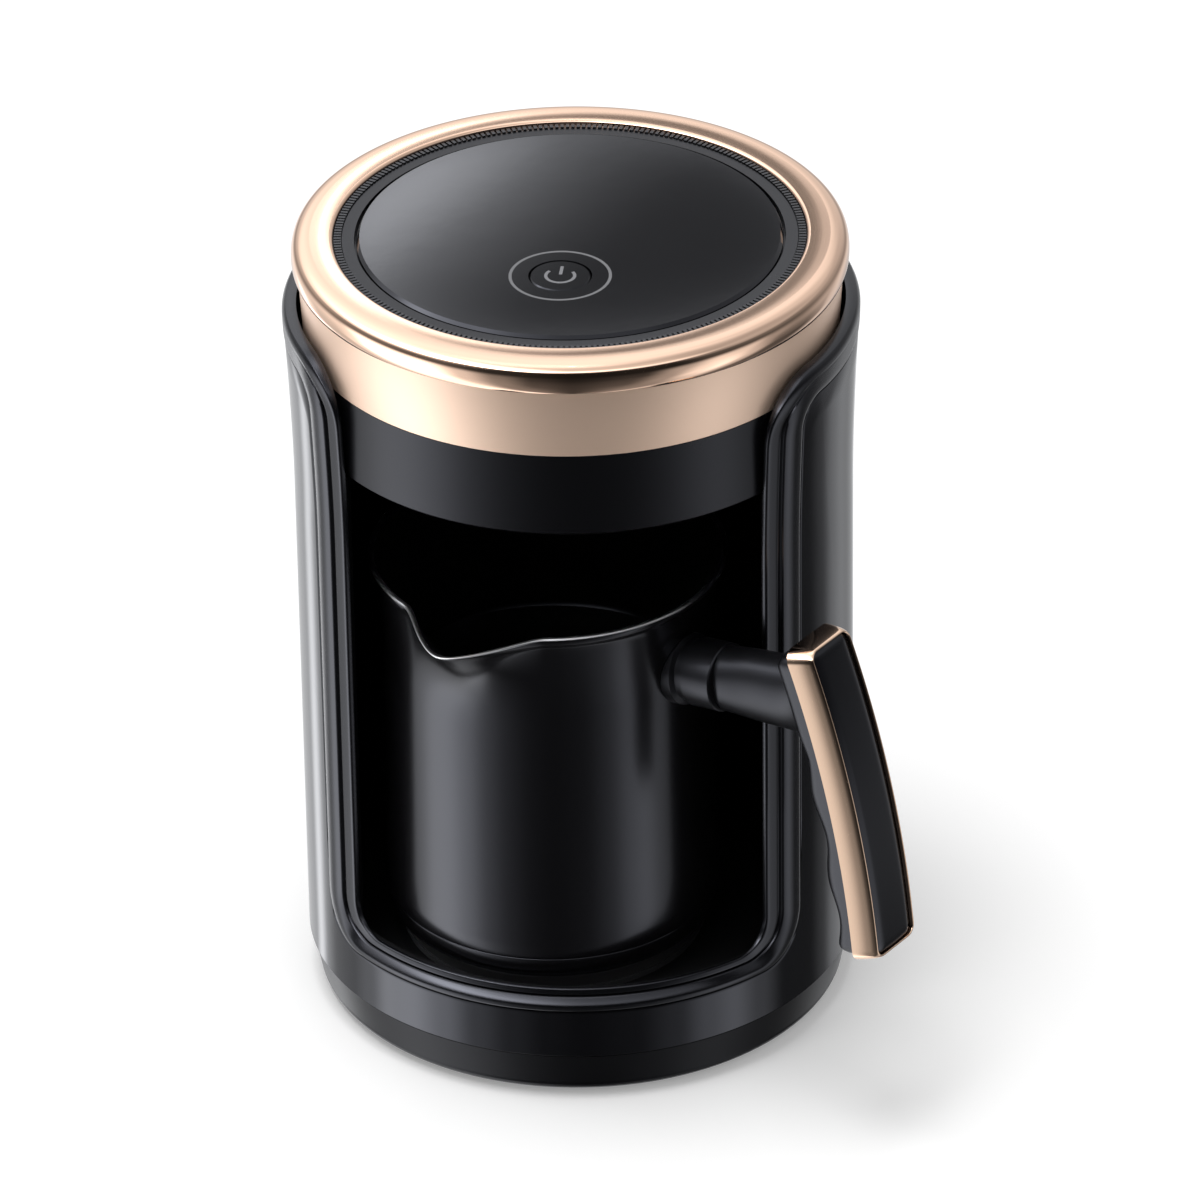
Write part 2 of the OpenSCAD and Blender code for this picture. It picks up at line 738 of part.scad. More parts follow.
module cap_ring() {
  under = satin_top_z + 0.25;
  crest = under + cap_h;
  mid = (cap_in + cap_out) / 2;
  flank = cap_out - mid;
  turn = [for (i = [0:9]) let(a = -30 + 120 * i / 9)
    [mid + flank * cos(a), under + cap_h * 0.34 + cap_h * 0.66 * sin(a)]];
  fall = [for (i = [1:6]) let(a = 90 * i / 6)
    [mid - (mid - cap_in) * sin(a), crest - 1.1 * (1 - cos(a))]];
  color(rose_polish) rotate_extrude($fn = 144) polygon(concat(
    [[flange_r + 0.3, under]], turn, fall, [[cap_in, cap_seat_z], [flange_r + 0.3, cap_seat_z]]));
}

module top_disc() {
  color(gloss_black) difference() {
    rotate_extrude($fn = 144) polygon([[0, disc_bed_z], [disc_r, disc_bed_z],
      [disc_r, disc_top_z - disc_chamfer], [disc_r - disc_chamfer, disc_top_z],
      [0, disc_top_z]]);
    translate([0, -button_y, disc_bed_z - 1]) cylinder(r = button_r + running, h = 9);
    translate([0, -button_y, disc_top_z - halo_deep])
      tube(halo_r + halo_w / 2, halo_r - halo_w / 2, 9);
  }
}

module button_halo() {
  color(pale_grey) translate([0, -button_y, disc_top_z - halo_deep])
    tube(halo_r + halo_w / 2 - 0.05, halo_r - halo_w / 2 + 0.05, halo_deep);
}

module control_board() {
  translate([0, 0, control_board_z]) {
    color(board_green) difference() {
      translate([-control_board_w / 2, -control_board_d / 2 - 4, 0])
        cube([control_board_w, control_board_d + 4, board_t]);
      for (x = [-1, 1], y = [-1, 1]) translate([x * control_post[0], y * control_post[1], -1])
        cylinder(r = screw_r + 0.2, h = 4, $fn = 32);
    }
    color(satin_black) translate([-18, -4, board_t]) cube([12, 12, 2]);
    color("ivory") translate([loom_x - 4, control_board_d / 2 - 9 - 4, board_t])
      cube([8, 4 - seat, 7]);
  }
}

module control_board_screws() {
  color(steel) for (x = [-1, 1], y = [-1, 1])
    translate([x * control_post[0], y * control_post[1], control_board_z]) {
      translate([0, 0, -1.6]) cylinder(r = 2.6, h = 1.6, $fn = 40);
      translate([0, 0, -0.5]) cylinder(r = screw_r, h = 8, $fn = 40);
    }
}

module button_switch() {
  color(satin_black) translate([0, -button_y, control_board_z + board_t]) difference() {
    translate([-3, -3, 0]) cube([6, 6, switch_h]);
    translate([0, 0, -1]) cylinder(r = plunger_r + 0.08, h = 9, $fn = 40);
  }
}

module buzzer() {
  color(satin_black) translate([-18, 16, control_board_z + board_t]) difference() {
    cylinder(r = 5, h = 5);
    translate([0, 0, 3]) cylinder(r = 1, h = 3, $fn = 32);
  }
}

// ---- button ----

module power_button() {
  color(gloss_black) translate([0, -button_y, 0]) difference() {
    union() {
      translate([0, 0, cap_flange_z]) cylinder(r = cap_flange_r, h = cap_flange_t);
      translate([0, 0, cap_flange_z]) cylinder(r = button_r, h = disc_top_z - cap_flange_z - 0.4);
      translate([0, 0, disc_top_z - 0.4]) cylinder(r1 = button_r, r2 = button_r - 0.4, h = 0.4);
      translate([0, 0, plunger_top_z + seat])
        cylinder(r = 2.5, h = cap_flange_z - plunger_top_z - seat + 0.5);
    }
    translate([0, 0, disc_top_z - symbol_t]) linear_extrude(2) symbol_plan(0.03);
  }
}

module symbol_plan(grow) {
  difference() {
    circle(r = symbol_r + symbol_w / 2 + grow);
    circle(r = symbol_r - symbol_w / 2 - grow);
    polygon([[0, 0], [3 * symbol_r * tan(symbol_gap) , 3 * symbol_r],
      [-3 * symbol_r * tan(symbol_gap), 3 * symbol_r]]);
  }
  translate([-symbol_w / 2 - grow, 0.6 - grow]) square([symbol_w + 2 * grow, 4.4 + 2 * grow]);
}

module power_symbol() {
  color(pale_grey) translate([0, -button_y, disc_top_z - symbol_t])
    linear_extrude(symbol_t) symbol_plan(0);
}

module switch_plunger() {
  low = control_board_z + board_t + button_travel + 0.1;
  color("ivory") translate([0, -button_y, low]) cylinder(r = plunger_r, h = plunger_top_z - low);
}

// ---- pot ----

module at_pot() {
  translate([pot_x, pot_y, pot_z]) children();
}

// Radius of the plain wall at a height, and what the spout adds to it at an azimuth
function wall_r(h) = h < neck_h ? mix(pot_r, neck_r, max(0, h - base_cap_h) / (neck_h - base_cap_h))
  : neck_r + (mouth_r - neck_r) * pow((h - neck_h) / (pot_h - neck_h), 2);
function spout_share(az) = let(d = abs((az - spout_az + 540) % 360 - 180), s = sqrt(d * d + 16) - 4)
  s > spout_half ? 0 : pow(1 - s / spout_half, spout_power);
function spout_rise(h) = h < pot_h - spout_fall ? 0 : pow(1 - (pot_h - h) / spout_fall, 2);
function pot_ring(r, h, n = 90) = [for (i = [0:n - 1]) let(az = 360 * i / n + spout_az)
  at(az, r + spout_out * spout_share(az) * spout_rise(h), h)];

module pot_body() {
  low = base_cap_h + seat;
  inside = low + 2;
  walls = [40, 68, 76, 82, 87, 91.5, 95.5, 99, 102, 104.6];
  scale_h = pot_h / 108.3;
  rim = [for (q = [[0.6, 2.4], [bead, 1.6], [0.8, 0.5], [0, 0], [-pot_t * 0.8, 0.5],
    [-pot_t, 1.6]]) pot_ring(wall_r(pot_h - q[1]) + q[0], pot_h - q[1])];
  color(satin_black) at_pot() stack(concat(
    [pot_ring(2, low), pot_ring(wall_r(low) - 0.3, low), pot_ring(wall_r(low), low + 0.4)],
    [for (h = walls) pot_ring(wall_r(h * scale_h), h * scale_h)],
    rim,
    [for (i = [len(walls) - 1:-1:2]) let(h = walls[i] * scale_h) pot_ring(wall_r(h) - pot_t, h)],
    [pot_ring(wall_r(fill_h) - pot_t, fill_h),
      pot_ring(wall_r(fill_h) - pot_t - fill_step, fill_h - 0.4),
      pot_ring(wall_r(inside) - pot_t - fill_step, inside + 3),
      pot_ring(wall_r(inside) - pot_t - fill_step - 3, inside), pot_ring(2, inside)]));
}

module pot_base() {
  out = pot_r - 0.1;
  turn = [for (i = [0:6]) let(a = 90 * i / 6)
    [out - base_round * 1.1 + base_round * sin(a), base_round * (1 - cos(a))]];
  color(satin_black) at_pot() rotate_extrude($fn = 144)
    polygon(concat([[0, 0]], turn, [[out, base_cap_h - 0.8], [out - 0.3, base_cap_h],
      [spreader_r + slip, base_cap_h], [spreader_r + slip, base_t], [0, base_t]]));
}

module heat_spreader() {
  color(steel) at_pot() translate([0, 0, base_t + seat / 2])
    cylinder(r = spreader_r, h = base_cap_h - base_t, $fn = 144);
}

// ---- handle, in a plane through the pot's axis: x outwards, z up ----

module at_handle() {
  at_pot() rotate([0, 0, handle_az - 90]) children();
}

module at_arm() {
  at_handle() translate([arm_root_r, 0, arm_h]) rotate([0, 90 - arm_rise, 0]) children();
}

grip_top_h = pot_h + grip_rise;
grip_top = [grip_top_r, grip_top_h];
grip_foot = [grip_foot_r, grip_top_h - grip_drop];
grip_l = norm(grip_foot - grip_top);
grip_along = (grip_foot - grip_top) / grip_l;
grip_out = [-grip_along[1], grip_along[0]];
grip_tilt = atan2(grip_along[0], -grip_along[1]);
// A point of the grip's side view, u of the way down and d deep under its outer face
function grip_at(u, d) = grip_top + grip_along * u * grip_l
  + grip_out * (4 * grip_bow * u * (1 - u) - d);
function grip_side(u0, u1, d0, d1) = concat(
  [for (i = [0:10]) grip_at(mix(u0, u1, i / 10), d0)],
  [for (i = [10:-1:0]) grip_at(mix(u0, u1, i / 10), d1)]);

// Length along the arm's axis from its root to a depth under the grip's outer face
function arm_to(d) = let(
  u = (grip_top_h - arm_h - (grip_top_r - arm_root_r) * tan(arm_rise)) / grip_drop)
  (grip_at(u, d) - [arm_root_r, arm_h]) * [cos(arm_rise), sin(arm_rise)];
arm_reach = arm_to(frame_deep + core_deep - 3);
bolt_seat_l = arm_to(inlay_t + bolt_head_h + 1);

module side_slab(points, w) {
  rotate([90, 0, 0]) linear_extrude(w, center = true) polygon(points);
}

// The grip's outline seen square on to its outer face
module grip_prism(inset, r, widen = 0) {
  mid = (grip_top + grip_foot) / 2;
  translate([mid[0], 0, mid[1]]) rotate([0, 90 - grip_tilt, 0]) translate([0, 0, -40])
    linear_extrude(80) rounded_plate(grip_l - 2 * inset, grip_w + 2 * (widen - inset), r);
}

module handle_collar() {
  neck_r = collar_r - 0.9;
  flange_r = collar_r + 0.5;
  end_l = collar_l - seam / 2;
  levels = [for (i = [0:8]) arm_h - 20 + 5 * i];
  color(satin_black) difference() {
    at_arm() rotate_extrude($fn = 96) polygon([[0, -6], [flange_r, -6], [flange_r, 1.6],
      [neck_r, 2.2], [neck_r, collar_neck_l - 0.6], [collar_r, collar_neck_l],
      [collar_r, end_l - 0.3], [collar_r - 0.3, end_l], [0, end_l]]);
    at_pot() rotate_extrude($fn = 180) polygon(concat([[0, levels[0]]],
      [for (h = levels) [wall_r(h) + 0.12, h]], [[0, levels[8]]]));
    at_arm() translate([0, 0, 2.5]) cylinder(r = bolt_r + 0.05, h = 20, $fn = 48);
  }
}

module arm_station(z, tall, wide) {
  translate([0, 0, z]) scale([tall, wide, 1]) cylinder(r = 1, h = 0.4, $fn = 48);
}

module handle_core() {
  back = [for (i = [0:24]) let(u = mix(0.036, 0.982, i / 24), s = u * grip_l)
    grip_at(u, frame_deep + (i == 0 || i == 24 ? core_deep * 0.35
      : core_deep * (i == 1 || i == 23 ? 0.85 : 1)
        - ripple * (u < 0.3 ? 0 : 1) * cos(360 * (s - 78) / ripple_pitch)))];
  front = [for (i = [8:-1:0]) grip_at(mix(0.033, 0.987, i / 8), frame_deep + seat / 2)];
  color(satin_black) difference() {
    union() {
      at_arm() {
        hull() {
          arm_station(collar_l, collar_r, arm_wide + 0.4);
          arm_station(collar_l + 11, mix(collar_r, arm_tall, 0.6), arm_wide);
        }
        hull() {
          arm_station(collar_l + 11, mix(collar_r, arm_tall, 0.6), arm_wide);
          arm_station(arm_reach, arm_tall, arm_wide);
        }
      }
      at_handle() intersection() {
        side_slab(concat(back, front), grip_w + 2 * grip_splay - 1);
        grip_prism(0.4, grip_corner_r, grip_splay - 0.5);
      }
      at_handle() intersection() {
        side_slab(grip_side(0.005, 0.995, inlay_t + 2 * seat, frame_deep + 1), grip_w);
        grip_prism(frame_t + slip, grip_corner_r - frame_t);
      }
    }
    at_arm() {
      cylinder(r = bolt_r + 0.2, h = 80, $fn = 48);
      translate([0, 0, bolt_seat_l]) cylinder(r = bolt_head_r + 0.3, h = 20, $fn = 48);
    }
  }
}

module handle_bolt() {
  color(steel) at_arm() {
    translate([0, 0, 3]) cylinder(r = bolt_r, h = bolt_seat_l - 2.5, $fn = 48);
    translate([0, 0, bolt_seat_l + seat / 2]) difference() {
      cylinder(r = bolt_head_r, h = bolt_head_h, $fn = 48);
      for (a = [0, 90]) rotate(a) translate([-2, -0.4, bolt_head_h - 1]) cube([4, 0.8, 2]);
    }
  }
}

// One section across the frame, s along from its upper end, narrowed by the rounded corners
function frame_ring(s) = let(
  e = grip_corner_r - min(grip_corner_r, s, grip_l - s),
  half = grip_w / 2 - grip_corner_r + sqrt(pow(grip_corner_r, 2) - e * e),
  out = grip_at(s / grip_l, 0), back = grip_at(s / grip_l, frame_deep))
  [[out[0], -half, out[1]], [out[0], half, out[1]],
    [back[0], half + grip_splay, back[1]], [back[0], -half - grip_splay, back[1]]];

module grip_frame() {
  turn = [for (i = [0:6]) grip_corner_r * (1 - cos(15 * i))];
  color(rose_polish) at_handle() difference() {
    stack([for (s = concat(turn, [for (i = [1:9]) mix(grip_corner_r, grip_l - grip_corner_r, i / 10)],
      [for (i = [6:-1:0]) grip_l - turn[i]])) frame_ring(s)]);
    grip_prism(frame_t, grip_corner_r - frame_t);
  }
}

module grip_inlay() {
  color(gloss_black) at_handle() intersection() {
    side_slab(grip_side(0, 1, 0.2, inlay_t), grip_w);
    grip_prism(frame_t + slip, grip_corner_r - frame_t);
  }
}

standing_ring();
base_pan();
base_screws();
outer_shell();
opening_bezel();
bay_floor();
bay_wall();
plate_gasket();
hot_plate();
heating_element();
thermal_cutoff();
probe_holder();
probe_spring();
heat_probe();
cord_bush();
power_board();
power_board_screws();
wire_loom();
head_housing();
head_screws();
overflow_sensor();
sensor_window();
satin_band();
top_plate();
toothed_ring();
cap_ring();
top_disc();
button_halo();
control_board();
control_board_screws();
button_switch();
buzzer();
power_button();
power_symbol();
switch_plunger();
pot_body();
pot_base();
heat_spreader();
handle_collar();
handle_core();
handle_bolt();
grip_frame();
grip_inlay();
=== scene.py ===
import bmesh
import bpy
import json
import math
from mathutils import Matrix, Vector


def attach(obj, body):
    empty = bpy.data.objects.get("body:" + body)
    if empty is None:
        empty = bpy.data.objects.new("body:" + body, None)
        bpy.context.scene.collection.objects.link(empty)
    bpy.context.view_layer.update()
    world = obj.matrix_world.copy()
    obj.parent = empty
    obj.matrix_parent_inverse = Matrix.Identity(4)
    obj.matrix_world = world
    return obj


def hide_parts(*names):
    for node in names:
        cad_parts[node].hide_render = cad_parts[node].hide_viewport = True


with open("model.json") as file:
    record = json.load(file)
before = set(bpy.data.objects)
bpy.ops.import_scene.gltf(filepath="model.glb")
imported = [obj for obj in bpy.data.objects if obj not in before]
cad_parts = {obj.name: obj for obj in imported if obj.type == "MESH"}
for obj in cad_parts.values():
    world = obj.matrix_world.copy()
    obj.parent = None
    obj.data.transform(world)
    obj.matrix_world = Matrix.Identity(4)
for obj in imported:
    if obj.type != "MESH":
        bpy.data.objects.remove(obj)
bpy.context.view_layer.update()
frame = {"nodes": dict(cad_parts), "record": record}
nodes = frame["nodes"]
body_of = {node: body for body, held in frame["record"]["behaviour"]["bodies"].items() for node in held}


# ---- node groups that several finishes share ----

def new_group(name, inputs, outputs):
    group = bpy.data.node_groups.new(name, "ShaderNodeTree")
    for label, value in inputs:
        socket = group.interface.new_socket(name=label, in_out="INPUT", socket_type="NodeSocketFloat")
        socket.default_value = value
    for label in outputs:
        group.interface.new_socket(name=label, in_out="OUTPUT", socket_type="NodeSocketFloat")
    return group, group.nodes.new("NodeGroupInput"), group.nodes.new("NodeGroupOutput")


def add(tree, kind, **values):
    node = tree.nodes.new(kind)
    for key, value in values.items():
        if hasattr(node, key):
            setattr(node, key, value)
        else:
            node.inputs[key].default_value = value
    return node


def math_node(tree, operation, a, b=0.0):
    node = add(tree, "ShaderNodeMath", operation=operation)
    for i, value in enumerate((a, b)):
        if hasattr(value, "is_output"):
            tree.links.new(value, node.inputs[i])
        else:
            node.inputs[i].default_value = value
    return node.outputs[0]


def moulded_grain_group():
    """Fine spark-eroded grain of a moulding, as a height and a roughness that wanders a little."""
    group, given, out = new_group(
        "moulded_grain",
        [("Grain size", 0.0006), ("Grain height", 0.2), ("Roughness", 0.4), ("Roughness wander", 0.05)],
        ["Height", "Roughness"])
    place = add(group, "ShaderNodeTexCoord").outputs["Object"]
    fine_scale = math_node(group, "DIVIDE", 1.0, given.outputs["Grain size"])
    grain = add(group, "ShaderNodeTexNoise", Detail=3.0, Roughness=0.6)
    group.links.new(place, grain.inputs["Vector"])
    group.links.new(fine_scale, grain.inputs["Scale"])
    group.links.new(math_node(group, "MULTIPLY", grain.outputs[0], given.outputs["Grain height"]),
                    out.inputs["Height"])
    slow = add(group, "ShaderNodeTexNoise", Scale=38.0, Detail=4.0, Roughness=0.65)
    group.links.new(place, slow.inputs["Vector"])
    centred = math_node(group, "SUBTRACT", slow.outputs[0], 0.5)
    wander = math_node(group, "MULTIPLY", centred, given.outputs["Roughness wander"])
    group.links.new(math_node(group, "ADD", wander, given.outputs["Roughness"]),
                    out.inputs["Roughness"])
    return group


def turned_lines_group():
    """Fine lines round the vertical axis, as left by turning or brushing a ring."""
    group, given, out = new_group(
        "turned_lines",
        [("Line pitch", 0.0003), ("Line height", 0.1), ("Roughness", 0.3), ("Roughness wander", 0.05)],
        ["Height", "Roughness"])
    place = add(group, "ShaderNodeTexCoord").outputs["Object"]
    parts = add(group, "ShaderNodeSeparateXYZ")
    group.links.new(place, parts.inputs[0])
    across = math_node(group, "POWER", math_node(
        group, "ADD", math_node(group, "MULTIPLY", parts.outputs["X"], parts.outputs["X"]),
        math_node(group, "MULTIPLY", parts.outputs["Y"], parts.outputs["Y"])), 0.5)
    around = math_node(group, "ARCTAN2", parts.outputs["Y"], parts.outputs["X"])
    pitch = math_node(group, "DIVIDE", 1.0, given.outputs["Line pitch"])
    spot = add(group, "ShaderNodeCombineXYZ")
    group.links.new(math_node(group, "MULTIPLY", across, pitch), spot.inputs["X"])
    group.links.new(math_node(group, "MULTIPLY", around, 2.0), spot.inputs["Y"])
    group.links.new(math_node(group, "MULTIPLY", parts.outputs["Z"], pitch), spot.inputs["Z"])
    lines = add(group, "ShaderNodeTexNoise", Scale=1.0, Detail=2.0, Roughness=0.5)
    group.links.new(spot.outputs[0], lines.inputs["Vector"])
    group.links.new(math_node(group, "MULTIPLY", lines.outputs[0], given.outputs["Line height"]),
                    out.inputs["Height"])
    centred = math_node(group, "SUBTRACT", lines.outputs[0], 0.5)
    wander = math_node(group, "MULTIPLY", centred, given.outputs["Roughness wander"])
    group.links.new(math_node(group, "ADD", wander, given.outputs["Roughness"]),
                    out.inputs["Roughness"])
    return group


moulded_grain = moulded_grain_group()
turned_lines = turned_lines_group()


# ---- finishes ----

def new_finish(name, colour, group, depth, metallic=0.0, specular=0.5, tint=(1, 1, 1), **values):
    """A finish whose height and roughness come from one of the shared groups."""
    finish = bpy.data.materials.new(name)
    finish.use_nodes = True
    tree = finish.node_tree
    shader = tree.nodes["Principled BSDF"]
    shader.inputs["Base Color"].default_value = (*colour, 1.0)
    shader.inputs["Metallic"].default_value = metallic
    shader.inputs["Specular IOR Level"].default_value = specular
    shader.inputs["Specular Tint"].default_value = (*tint, 1.0)
    effect = add(tree, "ShaderNodeGroup", node_tree=group)
    for label, value in values.items():
        effect.inputs[label.replace("_", " ").capitalize()].default_value = value
    bump = add(tree, "ShaderNodeBump", Strength=1.0, Distance=depth)
    tree.links.new(effect.outputs["Height"], bump.inputs["Height"])
    tree.links.new(bump.outputs[0], shader.inputs["Normal"])
    tree.links.new(effect.outputs["Roughness"], shader.inputs["Roughness"])
    return finish


def moulded(name, colour, roughness, size=0.0006, height=0.25, wander=0.05, specular=0.5):
    return new_finish(name, colour, moulded_grain, GRAIN_DEPTH, specular=specular,
                      tint=COOL, grain_size=size, grain_height=height,
                      roughness=roughness, roughness_wander=wander)


def metal(name, colour, roughness, pitch=0.0003, height=0.15, wander=0.05, part=1.0):
    return new_finish(name, colour, turned_lines, LINE_DEPTH, metallic=part, line_pitch=pitch,
                      line_height=height, roughness=roughness, roughness_wander=wander)


BLACK = (0.0028, 0.0028, 0.0034)
COOL = (0.86, 0.88, 1.0)  # painted cool tint of the reflections in mouldings, standing in for the cool colour of the light
GRAIN_DEPTH, LINE_DEPTH = 0.00005, 0.00002
finishes = {
    "shell_gloss": moulded("shell_gloss_black", BLACK, 0.09, 0.006, 0.2, 0.03),
    "bezel": moulded("bezel_satin_black", BLACK, 0.24, 0.0006, 0.12, 0.04),
    "base": moulded("base_black", BLACK, 0.30, 0.0005, 0.25, 0.05, specular=0.16),
    "liner": moulded("liner_black", (0.003, 0.003, 0.003), 0.5, 0.0005, 0.3, 0.06, specular=0.25),
    "head": moulded("head_satin_black", BLACK, 0.28, 0.0005, 0.18, 0.04, specular=0.3),
    "disc": moulded("disc_gloss_black", (0.006, 0.006, 0.0068), 0.05, 0.008, 0.05, 0.01),
    "annulus": moulded("annulus_black", BLACK, 0.28, 0.0005, 0.2, 0.05, specular=0.35),
    "teeth": moulded("tooth_black", (0.012, 0.012, 0.013), 0.22, 0.0005, 0.1, 0.04),
    "rubber": moulded("foot_rubber", (0.02, 0.02, 0.02), 0.7, 0.0004, 0.5, 0.08),
    "pot": moulded("pot_satin_black", (0.0028, 0.0026, 0.003), 0.22, 0.0007, 0.2, 0.04),
    "handle": moulded("handle_satin_black", (0.004, 0.004, 0.0046), 0.34, 0.0005, 0.3, 0.05,
                      specular=0.4),
    "inlay": moulded("inlay_gloss_black", BLACK, 0.16, 0.001, 0.12, 0.03),
    "plate": moulded("plate_grey", (0.03, 0.03, 0.03), 0.45, 0.0005, 0.3, 0.06),
    "board": moulded("board_green", (0.01, 0.09, 0.045), 0.4, 0.002, 0.1, 0.05),
    "pale": moulded("symbol_pale", (0.19, 0.19, 0.20), 0.4, 0.001, 0.1, 0.03),
    "halo": moulded("halo_grey", (0.15, 0.15, 0.155), 0.3, 0.001, 0.1, 0.03),
    "rose_satin": metal("rose_gold_satin", (0.90, 0.66, 0.51), 0.40, 0.00025, 0.3, part=0.62),
    # brighter grey metal on the crest of the pot's rim: a painted highlight line along the rim
    "lip": metal("rim_highlight_metal", (0.42, 0.42, 0.43), 0.30, 0.0004, 0.1),
    "rose_frame": metal("rose_gold_frame", (0.90, 0.64, 0.47), 0.10, 0.0006, 0.04, 0.02),
    "rose_polish": metal("rose_gold_polished", (0.90, 0.62, 0.46), 0.07, 0.0006, 0.02, 0.02),
    "steel": metal("bright_steel", (0.6, 0.6, 0.61), 0.3, 0.0003, 0.3),
}

finish_of = {
    "standing_ring": "rubber", "base_pan": "base", "base_screws": "steel",
    "outer_shell": "shell_gloss", "opening_bezel": "bezel", "bay_floor": "liner",
    "bay_wall": "liner", "plate_gasket": "rubber", "hot_plate": "plate",
    "heating_element": "steel", "thermal_cutoff": "base", "probe_holder": "base",
    "probe_spring": "steel", "heat_probe": "steel", "cord_bush": "rubber",
    "power_board": "board", "power_board_screws": "steel", "wire_loom": "rubber",
    "head_housing": "head", "head_screws": "steel", "overflow_sensor": "board",
    "sensor_window": "disc", "satin_band": "rose_satin", "top_plate": "annulus",
    "toothed_ring": "teeth", "cap_ring": "rose_polish", "top_disc": "disc",
    "button_halo": "halo", "control_board": "board", "control_board_screws": "steel",
    "button_switch": "base", "buzzer": "base", "power_button": "disc",
    "power_symbol": "pale", "switch_plunger": "pale", "pot_body": "pot", "pot_base": "pot",
    "heat_spreader": "steel", "handle_collar": "handle", "handle_core": "handle",
    "handle_bolt": "steel", "grip_frame": "rose_frame", "grip_inlay": "inlay",
}
for name, finish in finish_of.items():
    mesh = nodes[name].data
    mesh.materials.clear()
    mesh.materials.append(finishes[finish])


# ---- making a mesh from points in millimetres ----

MM = 0.001


def mix(a, b, t):
    return a + (b - a) * t


def mix_points(a, b, t):
    return tuple(mix(p, q, t) for p, q in zip(a, b))


def ease(t):
    """Smooth step from 0 to 1, level at both ends and beyond them."""
    t = max(0.0, min(1.0, t))
    return t * t * (3 - 2 * t)


def quarter(steps, first=0):
    """Angles from 0 to 90 degrees in equal steps, in radians."""
    return [math.radians(90 * i / steps) for i in range(first, steps + 1)]


def at(azimuth, r, z):
    """A point by its azimuth from -Y towards +X, its radius and its height."""
    a = math.radians(azimuth)
    return (r * math.sin(a), -r * math.cos(a), z)


def chained(sections):
    """Points and faces of a solid round a closed chain of closed sections."""
    n, m = len(sections), len(sections[0])
    faces = [(i * m + j, i * m + (j + 1) % m, (i + 1) % n * m + (j + 1) % m, (i + 1) % n * m + j)
             for i in range(n) for j in range(m)]
    return [point for section in sections for point in section], faces


def stacked(rings):
    """Points and faces of a solid through a stack of rings, closed at both ends."""
    n, m = len(rings), len(rings[0])
    faces = [(i * m + j, i * m + (j + 1) % m, (i + 1) * m + (j + 1) % m, (i + 1) * m + j)
             for i in range(n - 1) for j in range(m)]
    faces += [tuple(range(m)), tuple((n - 1) * m + j for j in range(m))]
    return [point for ring in rings for point in ring], faces


def turned(profile, segments=288):
    """Points and faces of a profile of radii and heights, turned round the vertical axis."""
    return chained([[at(360 * i / segments, r, z) for r, z in profile] for i in range(segments)])


def new_mesh(name, shells, crease=40):
    """A mesh from one or more closed shells, its faces outwards and its doubles merged."""
    points, faces = [], []
    for shell_points, shell_faces in shells:
        start = len(points)
        points += [tuple(v * MM for v in point) for point in shell_points]
        faces += [tuple(start + i for i in face) for face in shell_faces]
    mesh = bpy.data.meshes.new(name)
    mesh.from_pydata(points, [], faces)
    work = bmesh.new()
    work.from_mesh(mesh)
    bmesh.ops.remove_doubles(work, verts=work.verts, dist=0.002 * MM)
    bmesh.ops.dissolve_degenerate(work, edges=work.edges, dist=0.001 * MM)
    bmesh.ops.recalc_face_normals(work, faces=work.faces)
    work.to_mesh(mesh)
    work.free()
    mesh.shade_smooth()
    mesh.set_sharp_from_angle(angle=math.radians(crease))
    return mesh


def put(mesh):
    """A linked object with this mesh, under the mesh's name."""
    obj = bpy.data.objects.new(mesh.name, mesh)
    bpy.context.scene.collection.objects.link(obj)
    return obj


def stand_for(node, mesh):
    """Shows this mesh in place of a node's plain solid, in its finish and on its body."""
    mesh.materials.clear()
    mesh.materials.append(finishes[finish_of[node]])
    piece = put(mesh)
    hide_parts(node)
    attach(piece, body_of[node])


# ---- shell and bezel ----

body_r, shell_t, flare, foot_band_h, sill_z, shell_top_z = 74, 3, 1.4, 13.3, 28, 196
opening_half, sill_corner_r, crest_corner_r = 59, 15, 8
bezel_side, bezel_end, cheek_side, cheek_end, crest_rise = 5.2, 3.6, 4.3, 2.2, 8
seam, slip, seat = 0.4, 0.15, 0.1
shell_z = foot_band_h + seam
flare_z, flare_power, draft = shell_top_z - 42.5, 1.6, 0.2
cheek_half = opening_half - bezel_side - cheek_side
notch_half, notch_z = 5.6, 29.6
fan, shell_rows = 22, 26  # degrees that the columns' feet spread behind the opening, and their rows
# The bezel's outer step: its crown, and how far its inner edge lies under the shell's face
step_crown, step_drop, sill_drop, crest_drop = 0.2, 0.8, 1.5, -0.15
# The share of the crest's rise that the outer step takes, and how much tighter or wider than the
# opening's corners the two steps turn at the sill and at the crest
step_rise, step_turn, cheek_turn, step_crest_turn, cheek_crest_turn = 0.62, -3, -5.5, 5.5, 9.5
blend_h, sill_blend_h = 6, 5


def arc_deg(length):
    return math.degrees(length / body_r)


def shell_r(z):
    return body_r + flare * (max(0, z - flare_z) / (shell_top_z - flare_z)) ** flare_power


def skin(p, deep):
    """A point under the shell's face, by its azimuth and height and how deep it lies."""
    return at(p[0], shell_r(p[1]) - deep, p[1])


